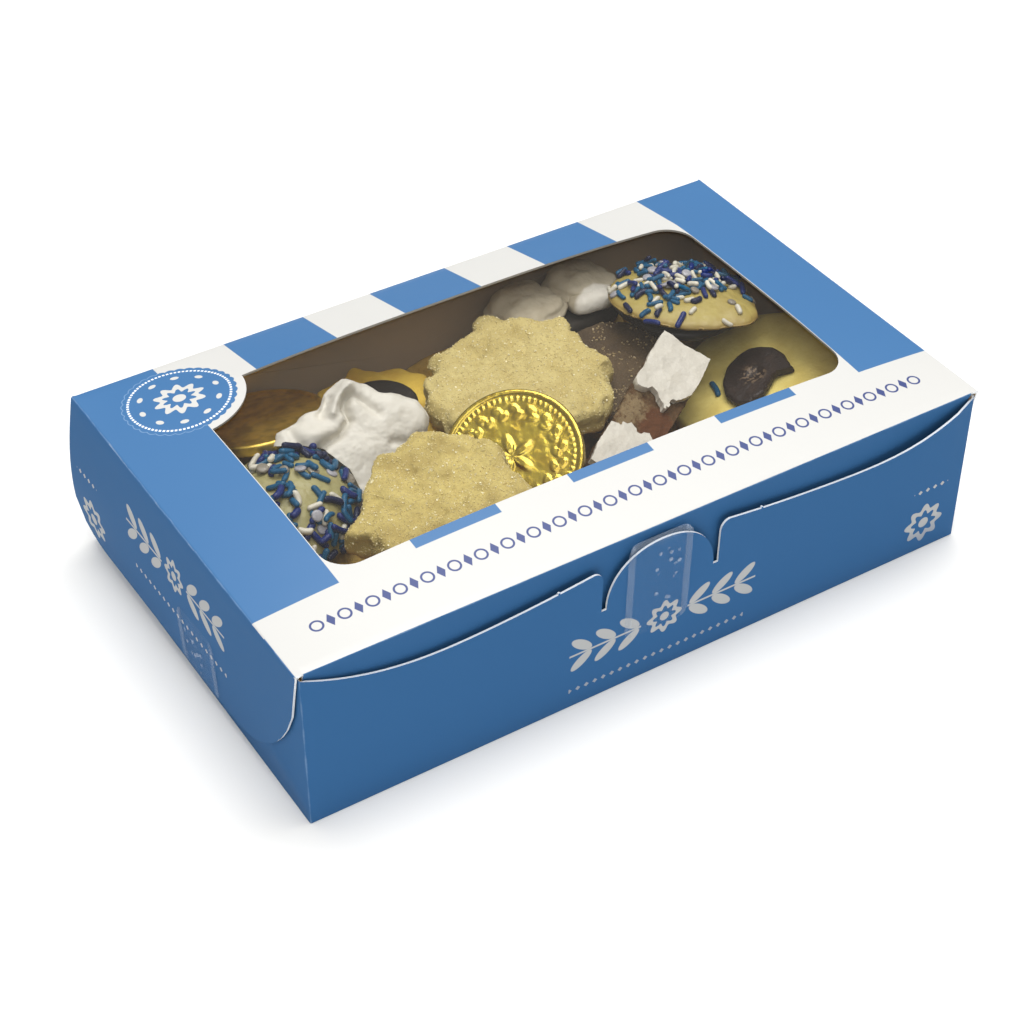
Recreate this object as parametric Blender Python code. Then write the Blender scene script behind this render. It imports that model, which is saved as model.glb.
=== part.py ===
"""Box of cookies: a folded carton with a window in its lid, the clear film behind the window,
two clear seals, and the cookies, meringues and foil coins that fill it.

The origin is the middle of the carton's underside, +Z is up and the front wall faces -Y.
Lengths below are in millimetres; the meshes are scaled to metres as they are made.
"""
import math
import random

import bmesh
import bpy
from mathutils import Matrix, Vector, noise
from mathutils.bvhtree import BVHTree
from mathutils.geometry import delaunay_2d_cdt

MM = 0.001
GAP = 0.3

# Carton
BOARD = 0.6
HALF_LENGTH = 101.3
HALF_WIDTH = 62.7
HEIGHT = 49.7
LID_HALF_LENGTH = HALF_LENGTH + GAP + BOARD
END_WALL_HEIGHT = 48.6
LID_RISE = 6.7
LID_CREST_Y = 6.0
LID_BEND_Y = 42.0
FRONT_FLAP_HALF = 100.0
FRONT_FLAP_ROWS = [(-61.75, 47.2, 0.0), (-61.3, 35.0, 1.0), (-60.9, 22.0, 3.0)]
LID_COLUMNS = 15
LID_FRONT_YS = [-62.7, -61.5, -58.9, -54.5, -48.0]
LID_BACK_YS = [52.0, 58.5, 62.7]

# Front wall's top edge, with its tab between two slots
FRONT_CORNER_Z = 48.0
FRONT_DIP_Z = 39.1
FRONT_DIP_X = 62.0
FRONT_SHOULDER_Z = 42.7
FRONT_SHOULDER_X = 20.5
SLOT_OUTER_X = 17.9
SLOT_Z = 29.3
TAB_HALF = 16.4
TAB_TOP_Z = 45.6
TAB_POWER = 2.15

# Side flaps, outside the end walls
FLAP_BOTTOM_Z = 5.2
FLAP_FRONT_RUN = 36.7
FLAP_BACK_RUN = 14.0
FLAP_BACK_DROP = 12.0
FLAP_BULGE = 3.2

# Window
WINDOW_HALF_X = 78.6
WINDOW_FRONT_Y = -38.1
WINDOW_BACK_Y = 42.0
WINDOW_RADIUS = 8.0
LOBE_X = -79.6
LOBE_Y = 43.7
LOBE_RADIUS = 17.6
FILM = 0.3
FILM_MARGIN = 7.0

# Seals
SEAL = 0.25
SEAL_HALF = 9.7
SEAL_X = -1.0
SEAL_LOW_Z = 16.0
SEAL_TOP_Z = 47.2
SIDE_SEAL_Y = -9.0
SIDE_SEAL_HIGH_Z = 25.0


def smooth_step(value):
    """Ease from 0 to 1."""
    value = min(max(value, 0.0), 1.0)
    return value * value * (3.0 - 2.0 * value)


def ripple(x, y, z, seed):
    """Smooth unevenness between -1 and 1."""
    return noise.noise(Vector((x, y, z + 17.3 * seed)))


def lid_rise(x, y):
    """How far the lid is domed above its folded edges; it runs straight down behind the bend."""
    if y > LID_CREST_Y:
        domed = min(y, LID_BEND_Y)
        along = 1.0 - ((domed - LID_CREST_Y) / (HALF_WIDTH - LID_CREST_Y)) ** 3.84
        along *= (HALF_WIDTH - max(y, LID_BEND_Y)) / (HALF_WIDTH - LID_BEND_Y)
    else:
        along = 1.0 - ((LID_CREST_Y - y) / (HALF_WIDTH + LID_CREST_Y)) ** 1.96
    across = 1.0 - (abs(x) / LID_HALF_LENGTH) ** 2.79
    return LID_RISE * max(along, 0.0) * max(across, 0.0)


def front_bow(x, z):
    """How far the front wall leans out of its plane, most near its right end."""
    ends = max(1.0 - (x / HALF_LENGTH) ** 2, 0.0)
    right = math.exp(-((x - 84.0) / 20.0) ** 2) * min((HALF_LENGTH - x) / 6.0, 1.0)
    return (z / HEIGHT) ** 1.3 * (1.1 * ends + 1.5 * right)


def flap_bulge(y, z):
    """How far a side flap stands off its fold line."""
    drop = (HEIGHT - z) / HEIGHT
    back = (y + HALF_WIDTH) / (2.0 * HALF_WIDTH)
    return FLAP_BULGE * (0.12 + 0.88 * back ** 1.3) * math.sin(math.pi * min(drop, 1.0) * 0.93)


def front_edge_z(x):
    """Height of the front wall's cut edge outside the slots."""
    reach = abs(x)
    if reach > FRONT_DIP_X:
        share = (reach - FRONT_DIP_X) / (HALF_LENGTH - FRONT_DIP_X)
        return FRONT_DIP_Z + (FRONT_CORNER_Z - FRONT_DIP_Z) * share ** 2.2
    share = (FRONT_DIP_X - reach) / (FRONT_DIP_X - FRONT_SHOULDER_X)
    edge = FRONT_DIP_Z + (FRONT_SHOULDER_Z - FRONT_DIP_Z) * min(share, 1.0) ** 1.6
    if reach < FRONT_SHOULDER_X:
        corner = (FRONT_SHOULDER_X - reach) / (FRONT_SHOULDER_X - SLOT_OUTER_X)
        edge -= 3.2 * (1.0 - math.sqrt(max(1.0 - corner * corner, 0.0)))
    return edge


def tab_edge_z(x):
    """Height of the tab's rounded edge."""
    share = min(abs(x) / TAB_HALF, 1.0)
    return SLOT_Z + (TAB_TOP_Z - SLOT_Z) * (1.0 - share ** TAB_POWER) ** (1.0 / TAB_POWER)


def flap_edge_z(y):
    """Height of a side flap's lower edge, rounded at both ends."""
    front = (y + HALF_WIDTH) / FLAP_FRONT_RUN
    if front < 1.0:
        share = 1.0 - max(front, 0.0)
        return FLAP_BOTTOM_Z + (HEIGHT - FLAP_BOTTOM_Z) * (1.0 - (1.0 - share ** 1.8) ** (1.0 / 1.8))
    back = (HALF_WIDTH - y) / FLAP_BACK_RUN
    if back < 1.0:
        return FLAP_BOTTOM_Z + FLAP_BACK_DROP * (1.0 - math.sqrt(1.0 - (1.0 - back) ** 2))
    return FLAP_BOTTOM_Z


def spread(low, high, count):
    """Evenly spaced values, both ends included."""
    return [low + (high - low) * i / (count - 1) for i in range(count)]


def material(name, colour, roughness, metallic=0.0, alpha=1.0):
    """Principled material with one colour."""
    made = bpy.data.materials.get(name) or bpy.data.materials.new(name)
    made.use_nodes = True
    shader = made.node_tree.nodes["Principled BSDF"]
    shader.inputs["Base Color"].default_value = (*colour, 1.0)
    shader.inputs["Roughness"].default_value = roughness
    shader.inputs["Metallic"].default_value = metallic
    shader.inputs["Alpha"].default_value = alpha
    return made


def make_object(name, bm, finish, matrix=None, sharp=40.0):
    """Scale a millimetre bmesh to metres and link it as an object, placed by a millimetre matrix."""
    bmesh.ops.scale(bm, vec=(MM, MM, MM), verts=bm.verts)
    mesh = bpy.data.meshes.new(name)
    bm.to_mesh(mesh)
    bm.free()
    mesh.shade_smooth()
    mesh.set_sharp_from_angle(angle=math.radians(sharp))
    mesh.materials.append(finish)
    made = bpy.data.objects.new(name, mesh)
    bpy.context.scene.collection.objects.link(made)
    if matrix is not None:
        placed = matrix.copy()
        placed.translation = matrix.translation * MM
        made.matrix_world = placed
    return made


def grid(bm, rows):
    """Quads through a list of rows of points."""
    made = [[bm.verts.new(point) for point in row] for row in rows]
    for lower, upper in zip(made, made[1:]):
        for i in range(len(lower) - 1):
            bm.faces.new((lower[i], lower[i + 1], upper[i + 1], upper[i]))
    return made


def weld(bm):
    """Join coincident points and drop the faces and edges that collapse."""
    bmesh.ops.remove_doubles(bm, verts=bm.verts, dist=0.01)
    bmesh.ops.dissolve_degenerate(bm, edges=bm.edges, dist=0.001)


def face_outward(bm):
    """Make the sheet's normals agree, with the lowest face looking down."""
    bmesh.ops.recalc_face_normals(bm, faces=bm.faces)
    lowest = min(bm.faces, key=lambda face: face.calc_center_median().z)
    if lowest.normal.z > 0.0:
        bmesh.ops.reverse_faces(bm, faces=bm.faces)


def window_outline(grow=0.0, arc_steps=5):
    """Window's outline, anticlockwise: a rounded rectangle that the lid's round lobe cuts into."""
    radius = WINDOW_RADIUS + grow
    left, right = -WINDOW_HALF_X - grow, WINDOW_HALF_X + grow
    front, back = WINDOW_FRONT_Y - grow, WINDOW_BACK_Y + grow
    corners = [
        (right - radius, front + radius, -90.0),
        (right - radius, back - radius, 0.0),
    ]
    points = []
    for x, y, start in corners:
        for i in range(arc_steps + 1):
            angle = math.radians(start + 90.0 * i / arc_steps)
            points.append((x + radius * math.cos(angle), y + radius * math.sin(angle)))
    lobe = LOBE_RADIUS - grow
    first = math.asin((back - LOBE_Y) / lobe)
    last = -math.acos((left - LOBE_X) / lobe)
    lobe_steps = 2 * arc_steps
    for i in range(lobe_steps + 1):
        angle = first + (last - first) * i / lobe_steps
        points.append((LOBE_X + lobe * math.cos(angle), LOBE_Y + lobe * math.sin(angle)))
    for i in range(arc_steps + 1):
        angle = math.radians(180.0 + 90.0 * i / arc_steps)
        points.append((left + radius + radius * math.cos(angle), front + radius + radius * math.sin(angle)))
    return points


def filled_in(outline, longest):
    """Outline with its long sides divided into shorter steps."""
    points = []
    for (x0, y0), (x1, y1) in zip(outline, outline[1:] + outline[:1]):
        steps = max(math.ceil(math.hypot(x1 - x0, y1 - y0) / longest), 1)
        points += [(x0 + (x1 - x0) * i / steps, y0 + (y1 - y0) * i / steps) for i in range(steps)]
    return points


def inside(outline, x, y):
    """True where the point lies inside the closed outline."""
    within = False
    for (x0, y0), (x1, y1) in zip(outline, outline[1:] + outline[:1]):
        if (y0 > y) != (y1 > y) and x < x0 + (x1 - x0) * (y - y0) / (y1 - y0):
            within = not within
    return within


def fan(bm, loop, centre):
    """Triangles from a centre point to a closed loop of points."""
    ring = [bm.verts.new(point) for point in loop]
    hub = bm.verts.new(centre)
    for a, b in zip(ring, ring[1:] + ring[:1]):
        bm.faces.new((a, b, hub))


def lid_sheet(bm, xs, ys):
    """Domed lid with the window left open."""
    window = filled_in(window_outline(), 14.0)
    border = [(x, ys[0]) for x in xs[:-1]] + [(xs[-1], y) for y in ys[:-1]]
    border += [(x, ys[-1]) for x in reversed(xs[1:])] + [(xs[0], y) for y in reversed(ys[1:])]
    inner = []
    for x in xs[2:-2]:
        for y in ys[2:-1]:
            if min(math.hypot(x - px, y - py) for px, py in window) > 6.0 and not inside(window, x, y):
                inner.append((x, y))
    points = border + window + inner
    edges = []
    for first, count in ((0, len(border)), (len(border), len(window))):
        edges += [(first + i, first + (i + 1) % count) for i in range(count)]
    made = delaunay_2d_cdt([Vector(point) for point in points], edges, [], 0, 0.0001)
    verts = [bm.verts.new((x, y, HEIGHT + lid_rise(x, y))) for x, y in made[0]]
    for face in made[2]:
        middle = sum((made[0][i] for i in face), Vector((0.0, 0.0))) / len(face)
        if not inside(window, middle.x, middle.y):
            bm.faces.new([verts[i] for i in face])
    bmesh.ops.delete(bm, geom=[vert for vert in verts if not vert.link_faces], context="VERTS")


def prism(bm, outline, low, high):
    """Upright prism over an anticlockwise outline."""
    bottom = [bm.verts.new((x, y, low)) for x, y in outline]
    top = [bm.verts.new((x, y, high)) for x, y in outline]
    bm.faces.new(list(reversed(bottom)))
    bm.faces.new(top)
    count = len(outline)
    for i in range(count):
        j = (i + 1) % count
        bm.faces.new((bottom[i], bottom[j], top[j], top[i]))


def front_wall(bm):
    """Front wall as columns up to its curved edge; returns the points down its two ends."""
    outer = [SLOT_OUTER_X, 18.2, 19.2] + spread(FRONT_SHOULDER_X, HALF_LENGTH, 12)
    tab = [TAB_HALF * math.sin(math.pi * (i / 12.0 - 0.5)) for i in range(13)]
    sides = [-x for x in reversed(outer)], outer
    columns = sides[0] + tab + sides[1]
    levels = [0.0, 0.5, 1.0]

    def at(x, z):
        return (x, -HALF_WIDTH - front_bow(x, z), z)

    lower = [[at(x, SLOT_Z * level) for x in columns] for level in levels]
    grid(bm, lower)
    shares = [0.0, 0.5, 1.0]
    for xs, edge in ((sides[0], front_edge_z), (tab, tab_edge_z), (sides[1], front_edge_z)):
        rows = [[at(x, SLOT_Z + (edge(x) - SLOT_Z) * share) for x in xs] for share in shares]
        grid(bm, rows)
    heights = [SLOT_Z * level for level in levels[:-1]]
    heights += [SLOT_Z + (FRONT_CORNER_Z - SLOT_Z) * share for share in shares]
    return heights, columns


def carton():
    """The folded carton, one sheet of board: tray, lid, front flap and side flaps."""
    bm = bmesh.new()
    heights, columns = front_wall(bm)
    for side in (-1.0, 1.0):
        x = side * HALF_LENGTH
        loop = [(x, -HALF_WIDTH, z) for z in heights]
        loop += [(x, -HALF_WIDTH + BOARD + 2.0, END_WALL_HEIGHT), (x, HALF_WIDTH, END_WALL_HEIGHT)]
        loop += [(x, HALF_WIDTH, 0.0)]
        fan(bm, loop, (x, 0.0, 0.5 * HEIGHT))
    base = [(x, -HALF_WIDTH, 0.0) for x in columns]
    base += [(HALF_LENGTH, HALF_WIDTH, 0.0), (-HALF_LENGTH, HALF_WIDTH, 0.0)]
    fan(bm, base, (0.0, 0.0, 0.0))

    lid_xs = [-LID_HALF_LENGTH, -HALF_LENGTH] + spread(-FRONT_FLAP_HALF, FRONT_FLAP_HALF, LID_COLUMNS)
    lid_xs += [HALF_LENGTH, LID_HALF_LENGTH]
    lid_ys = LID_FRONT_YS + spread(-40.0, LID_BEND_Y, 9) + LID_BACK_YS
    lid_sheet(bm, lid_xs, lid_ys)

    back = [(x, HALF_WIDTH, HEIGHT) for x in lid_xs[1:-1]]
    back += [(HALF_LENGTH, HALF_WIDTH, END_WALL_HEIGHT), (HALF_LENGTH, HALF_WIDTH, 0.0)]
    back += [(-HALF_LENGTH, HALF_WIDTH, 0.0), (-HALF_LENGTH, HALF_WIDTH, END_WALL_HEIGHT)]
    fan(bm, back, (0.0, HALF_WIDTH, 0.5 * HEIGHT))

    flap_rows = [[(x, -HALF_WIDTH, HEIGHT) for x in lid_xs[2:-2]]]
    for y, z, inset in FRONT_FLAP_ROWS:
        shrink = (FRONT_FLAP_HALF - inset) / FRONT_FLAP_HALF
        flap_rows.append([(x * shrink, y, z) for x in lid_xs[2:-2]])
    grid(bm, flap_rows)

    for side in (-1.0, 1.0):
        rows = []
        for share in (0.0, 0.18, 0.45, 0.75, 1.0):
            row = []
            for y in lid_ys:
                z = HEIGHT + (flap_edge_z(y) - HEIGHT) * share
                row.append((side * (LID_HALF_LENGTH + flap_bulge(y, z)), y, z))
            rows.append(row)
        grid(bm, rows)

    weld(bm)
    face_outward(bm)
    made = make_object("carton", bm, material("carton_board", (0.09, 0.26, 0.52), 0.45))
    shell = made.modifiers.new("board", "SOLIDIFY")
    shell.thickness = BOARD * MM
    shell.offset = -1.0
    shell.use_even_offset = True
    shell.use_quality_normals = True

    bake(made)
    made.data.shade_smooth()
    made.data.set_sharp_from_angle(angle=math.radians(35.0))


def slab_between(bm, top_rows, bottom_rows):
    """Closed solid between two grids of points that share one layout."""
    top = grid(bm, top_rows)
    bottom = [[bm.verts.new(point) for point in row] for row in bottom_rows]
    for lower, upper in zip(bottom, bottom[1:]):
        for i in range(len(lower) - 1):
            bm.faces.new((lower[i], upper[i], upper[i + 1], lower[i + 1]))
    last_row, last = len(top) - 1, len(top[0]) - 1
    rim = [(0, i) for i in range(last)] + [(j, last) for j in range(last_row)]
    rim += [(last_row, i) for i in range(last, 0, -1)] + [(j, 0) for j in range(last_row, 0, -1)]
    for here, there in zip(rim, rim[1:] + rim[:1]):
        a, b = top[here[0]][here[1]], top[there[0]][there[1]]
        c, d = bottom[there[0]][there[1]], bottom[here[0]][here[1]]
        bm.faces.new((b, a, d, c))
    bmesh.ops.recalc_face_normals(bm, faces=bm.faces)


def window_film():
    """Clear film under the lid, a little larger than the window."""
    xs = spread(-WINDOW_HALF_X - FILM_MARGIN, WINDOW_HALF_X + FILM_MARGIN, 11)
    ys = spread(WINDOW_FRONT_Y - FILM_MARGIN, LID_BEND_Y, 7) + [WINDOW_BACK_Y + FILM_MARGIN]
    high = -BOARD - GAP - 0.1
    bm = bmesh.new()
    slab_between(
        bm,
        [[(x, y, HEIGHT + lid_rise(x, y) + high) for x in xs] for y in ys],
        [[(x, y, HEIGHT + lid_rise(x, y) + high - FILM) for x in xs] for y in ys],
    )
    make_object("window_film", bm, material("clear_film", (0.9, 0.92, 0.93), 0.08, alpha=0.25))


def front_seal():
    """Clear seal from the front flap, over the tab, down the front wall."""
    xs = spread(SEAL_X - SEAL_HALF, SEAL_X + SEAL_HALF, 4)
    zs = spread(SEAL_LOW_Z, TAB_TOP_Z + 0.3, 4) + [SEAL_TOP_Z]
    lean = [0.0] * 4 + [0.7]

    def rows(stand):
        return [
            [(x, -HALF_WIDTH - front_bow(x, z) - stand + back, z) for x in xs]
            for z, back in zip(zs, lean)
        ]

    bm = bmesh.new()
    slab_between(bm, rows(GAP + SEAL), rows(GAP))
    make_object("front_seal", bm, material("clear_seal", (0.8, 0.86, 0.92), 0.2, alpha=0.35))


def side_seal():
    """Clear seal low on the left side flap."""
    ys = spread(SIDE_SEAL_Y - SEAL_HALF, SIDE_SEAL_Y + SEAL_HALF, 3)
    zs = spread(FLAP_BOTTOM_Z + 0.4, SIDE_SEAL_HIGH_Z, 4)

    def rows(stand):
        return [[(-LID_HALF_LENGTH - flap_bulge(y, z) - stand, y, z) for y in ys] for z in zs]

    bm = bmesh.new()
    slab_between(bm, rows(GAP + SEAL), rows(GAP))
    make_object("side_seal", bm, material("clear_seal", (0.8, 0.86, 0.92), 0.2, alpha=0.35))


# Food. Outlines are pairs of compass angle in degrees and radius in millimetres.
LAYER_LOW = 0.9
LAYER_HIGH = 13.7
LAYER_THICK = 12.5
SUGAR_OUTLINE = [
    (0, 22.5), (19, 24.5), (33, 28.4), (50, 25.5), (65, 26.4), (80, 28.0), (93, 23.6), (112, 24.2),
    (126, 26.2), (141, 24.0), (155, 26.2), (175, 26.6), (184, 25.0), (194, 26.6), (206, 24.0),
    (222, 24.6), (240, 23.5), (256, 25.5), (270, 24.2), (283, 25.6), (293, 27.2), (305, 26.6),
    (319, 23.6), (332, 23.6), (341, 25.9),
]
SUGAR_FRONT_OUTLINE = [
    (0, 19.4), (18, 22.3), (37, 22.4), (54, 22.0), (68, 24.9), (78, 26.6), (86, 24.0), (96, 21.8),
    (104, 24.4), (112, 24.4), (120, 23.0), (130, 21.6), (141, 20.8), (150, 21.8), (157, 23.6),
    (163, 25.8), (168, 27.0), (173, 25.4), (179, 22.0), (188, 21.4), (205, 22.0), (222, 24.5),
    (240, 22.6), (257, 24.5), (273, 22.6), (290, 24.5),
    (308, 22.4), (325, 23.0), (342, 20.0),
]
FLOWER_OUTLINE = [
    (0, 19.6), (15, 19.9), (24, 20.8), (34, 19.7), (45, 20.6), (62, 18.2), (72, 19.6), (82, 22.2),
    (95, 19.0), (110, 19.0), (124, 20.2), (137, 19.9), (150, 19.6), (165, 18.0), (185, 20.4),
    (205, 18.4), (230, 20.6), (255, 18.4), (280, 20.6), (310, 18.4), (335, 20.4),
]
MERINGUE_OUTLINE = [
    (0, 19.6), (12, 19.0), (26, 17.0), (48, 14.4), (67, 15.6), (84, 17.4), (100, 16.4), (122, 14.4),
    (142, 18.0), (157, 23.4), (167, 24.6), (178, 22.5), (192, 18.5), (215, 16.0), (234, 19.0),
    (246, 21.8), (256, 19.5), (268, 15.0), (290, 13.0), (318, 14.0), (342, 17.6),
]
DISC_OUTLINE = [
    (0, 9.9), (26, 10.5), (58, 11.1), (97, 9.9), (130, 9.2), (158, 9.6), (182, 10.5), (204, 11.3),
    (222, 10.9), (234, 9.4), (246, 8.5), (258, 7.2), (270, 6.2), (285, 5.7), (300, 5.4), (312, 6.4),
    (318, 10.9), (326, 10.1), (340, 9.7),
]
ICED_FRONT_OUTLINE = [
    (0, 18.6), (20, 19.4), (40, 21.6), (60, 22.0), (80, 22.3), (100, 22.5), (180, 22.3), (200, 21.7),
    (220, 20.6), (240, 19.1), (260, 17.4), (280, 16.1), (300, 15.7), (320, 15.8), (340, 17.2),
]
ICED_BACK_OUTLINE = [
    (0, 18.3), (20, 19.3), (45, 20.6), (80, 21.5), (120, 21.8), (160, 21.6), (180, 21.2), (200, 20.4),
    (220, 21.4), (245, 21.9), (265, 23.0), (280, 25.0), (292, 24.0), (305, 21.4), (320, 18.9),
    (340, 17.9),
]
CHOCOLATE_OUTLINE = [
    (0, 18.2), (20, 19.2), (45, 20.6), (80, 21.6), (120, 21.5), (140, 20.8), (160, 19.4), (180, 18.2),
    (200, 18.9), (220, 19.6), (240, 19.2), (260, 17.4), (280, 16.3), (300, 16.8), (320, 17.8),
    (340, 17.8),
]


def outline_radius(outline, angle):
    """Radius at an angle in degrees, eased between the outline's points."""
    angle %= 360.0
    closed = outline + [(outline[0][0] + 360.0, outline[0][1])]
    if angle < closed[0][0]:
        angle += 360.0
    for (a, low), (b, high) in zip(closed, closed[1:]):
        if a <= angle <= b:
            return low + (high - low) * smooth_step((angle - a) / (b - a))
    return closed[0][1]


def shaped(outline):
    """Factor on a ring's radius that gives the outline its shape, 1 where the outline is widest."""
    widest = max(radius for _, radius in outline)
    return lambda angle, z: outline_radius(outline, math.degrees(angle)) / widest


def turned(profile, steps, reach=None, lift=None):
    """Closed body of stacked rings from a bottom point to a top point.

    reach gives the factor on a ring's radius at an angle; lift gives the extra height at a point."""
    bm = bmesh.new()
    rings = []
    for radius, z in profile[1:-1]:
        ring = []
        for i in range(steps):
            angle = 2.0 * math.pi * i / steps
            out = radius * (reach(angle, z) if reach else 1.0)
            x, y = out * math.cos(angle), out * math.sin(angle)
            ring.append(bm.verts.new((x, y, z + (lift(x, y, z) if lift else 0.0))))
        rings.append(ring)
    for lower, upper in zip(rings, rings[1:]):
        for i in range(steps):
            j = (i + 1) % steps
            bm.faces.new((lower[i], lower[j], upper[j], upper[i]))
    for (radius, z), ring, flip in ((profile[0], rings[0], True), (profile[-1], rings[-1], False)):
        tip = bm.verts.new((0.0, 0.0, z + (lift(0.0, 0.0, z) if lift else 0.0)))
        for i in range(steps):
            j = (i + 1) % steps
            bm.faces.new((ring[j], ring[i], tip) if flip else (ring[i], ring[j], tip))
    return bm


def placed(centre, tilt=0.0, toward=0.0, spin=0.0):
    """Matrix that stands a piece at centre, tilted in degrees towards a compass angle."""
    turn = math.radians(toward)
    rotation = Matrix.Rotation(turn, 4, "Z") @ Matrix.Rotation(math.radians(tilt), 4, "Y")
    rotation = rotation @ Matrix.Rotation(math.radians(spin) - turn, 4, "Z")
    return Matrix.Translation(Vector(centre)) @ rotation


def on_top(centre, thickness, tilt=0.0, toward=0.0, spin=0.0):
    """Matrix for a piece whose top centre, not its bottom, is at centre."""
    matrix = placed(centre, tilt, toward, spin)
    matrix.translation = Vector(centre) - matrix.col[2].to_3d() * thickness
    return matrix


def biscuit_profile(radius, thickness, crown=0.6):
    """Side view of a plain baked cookie."""
    return [
        (0.0, 0.0),
        (0.93 * radius, 0.0),
        (radius, 0.3 * thickness),
        (radius, 0.62 * thickness),
        (0.91 * radius, thickness - crown),
        (0.0, thickness),
    ]


def plain_cookie(name, centre, radius, seed, finish):
    """Plain round cookie lying flat."""

    def reach(angle, z):
        return 1.0 + 0.012 * ripple(2.0 * math.cos(angle), 2.0 * math.sin(angle), 0.1 * z, seed) - 0.012

    bm = turned(biscuit_profile(radius, LAYER_THICK), 12, reach)
    make_object(name, bm, finish, placed(centre))


def cut_cookie(name, outline, thickness, steps, matrix, finish, seed, dimple=0.0, rough=0.5):
    """Cut-out cookie with a wavy outline and an uneven top."""
    mean = sum(radius for _, radius in outline) / len(outline)

    def reach(angle, z):
        return outline_radius(outline, math.degrees(angle)) / mean

    def lift(x, y, z):
        if z < 0.8 * thickness:
            return 0.0
        bump = rough * ripple(0.11 * x, 0.11 * y, 0.0, seed)
        return bump - dimple * math.exp(-(x * x + y * y) / 90.0)

    profile = [
        (0.0, 0.0),
        (mean - 1.0, 0.0),
        (mean, 0.32 * thickness),
        (mean - 0.2, 0.7 * thickness),
        (mean - 1.5, 0.95 * thickness),
        (0.62 * mean, thickness),
        (0.3 * mean, thickness),
        (0.0, thickness),
    ]
    make_object(name, turned(profile, steps, reach, lift), finish, matrix)


def coin(name, radius, thickness, matrix, finish, steps):
    """Foil coin: raised rim and a low relief disc on each face."""
    rim, field = 1.3, 0.35
    profile = [
        (0.0, field),
        (radius - rim - 0.6, field),
        (radius - rim, 0.0),
        (radius - 0.3, 0.1),
        (radius, 0.5 * thickness),
        (radius - 0.3, thickness - 0.1),
        (radius - rim, thickness),
        (radius - rim - 0.6, thickness - field),
        (0.0, thickness - field),
    ]
    make_object(name, turned(profile, steps), finish, matrix, sharp=30.0)


def dome_profile(radius, side, top):
    """Side view of a cookie with a domed top of icing."""
    profile = [(0.0, 0.0), (radius - 2.0, 0.0), (radius - 0.3, 1.4)]
    profile += [(radius, 0.45 * side), (radius - 0.5, side)]
    for share in (0.93, 0.8, 0.6, 0.35):
        profile.append((radius * share, side + (top - side) * (1.0 - share ** 2.2)))
    profile.append((0.0, top))
    return profile


def jimmy(length, width):
    """Rod-shaped sprinkle with tapered ends, lying along X."""
    bm = bmesh.new()
    half = 0.5 * length
    rings = []
    for x in (-half + 0.4 * width, half - 0.4 * width):
        ring = []
        for i in range(6):
            angle = math.pi * i / 3.0
            ring.append(bm.verts.new((x, 0.5 * width * math.cos(angle), 0.5 * width * math.sin(angle))))
        rings.append(ring)
    ends = bm.verts.new((-half, 0.0, 0.0)), bm.verts.new((half, 0.0, 0.0))
    for i in range(6):
        j = (i + 1) % 6
        bm.faces.new((rings[0][i], rings[0][j], rings[1][j], rings[1][i]))
        bm.faces.new((rings[0][j], rings[0][i], ends[0]))
        bm.faces.new((rings[1][i], rings[1][j], ends[1]))
    bmesh.ops.recalc_face_normals(bm, faces=bm.faces)
    return bm


def dot_sprinkle(radius, thickness):
    """Flat round sprinkle."""
    bm = bmesh.new()
    outline = [(radius * math.cos(math.pi * i / 4.0), radius * math.sin(math.pi * i / 4.0)) for i in range(8)]
    prism(bm, outline, -0.5 * thickness, 0.5 * thickness)
    return bm


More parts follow.
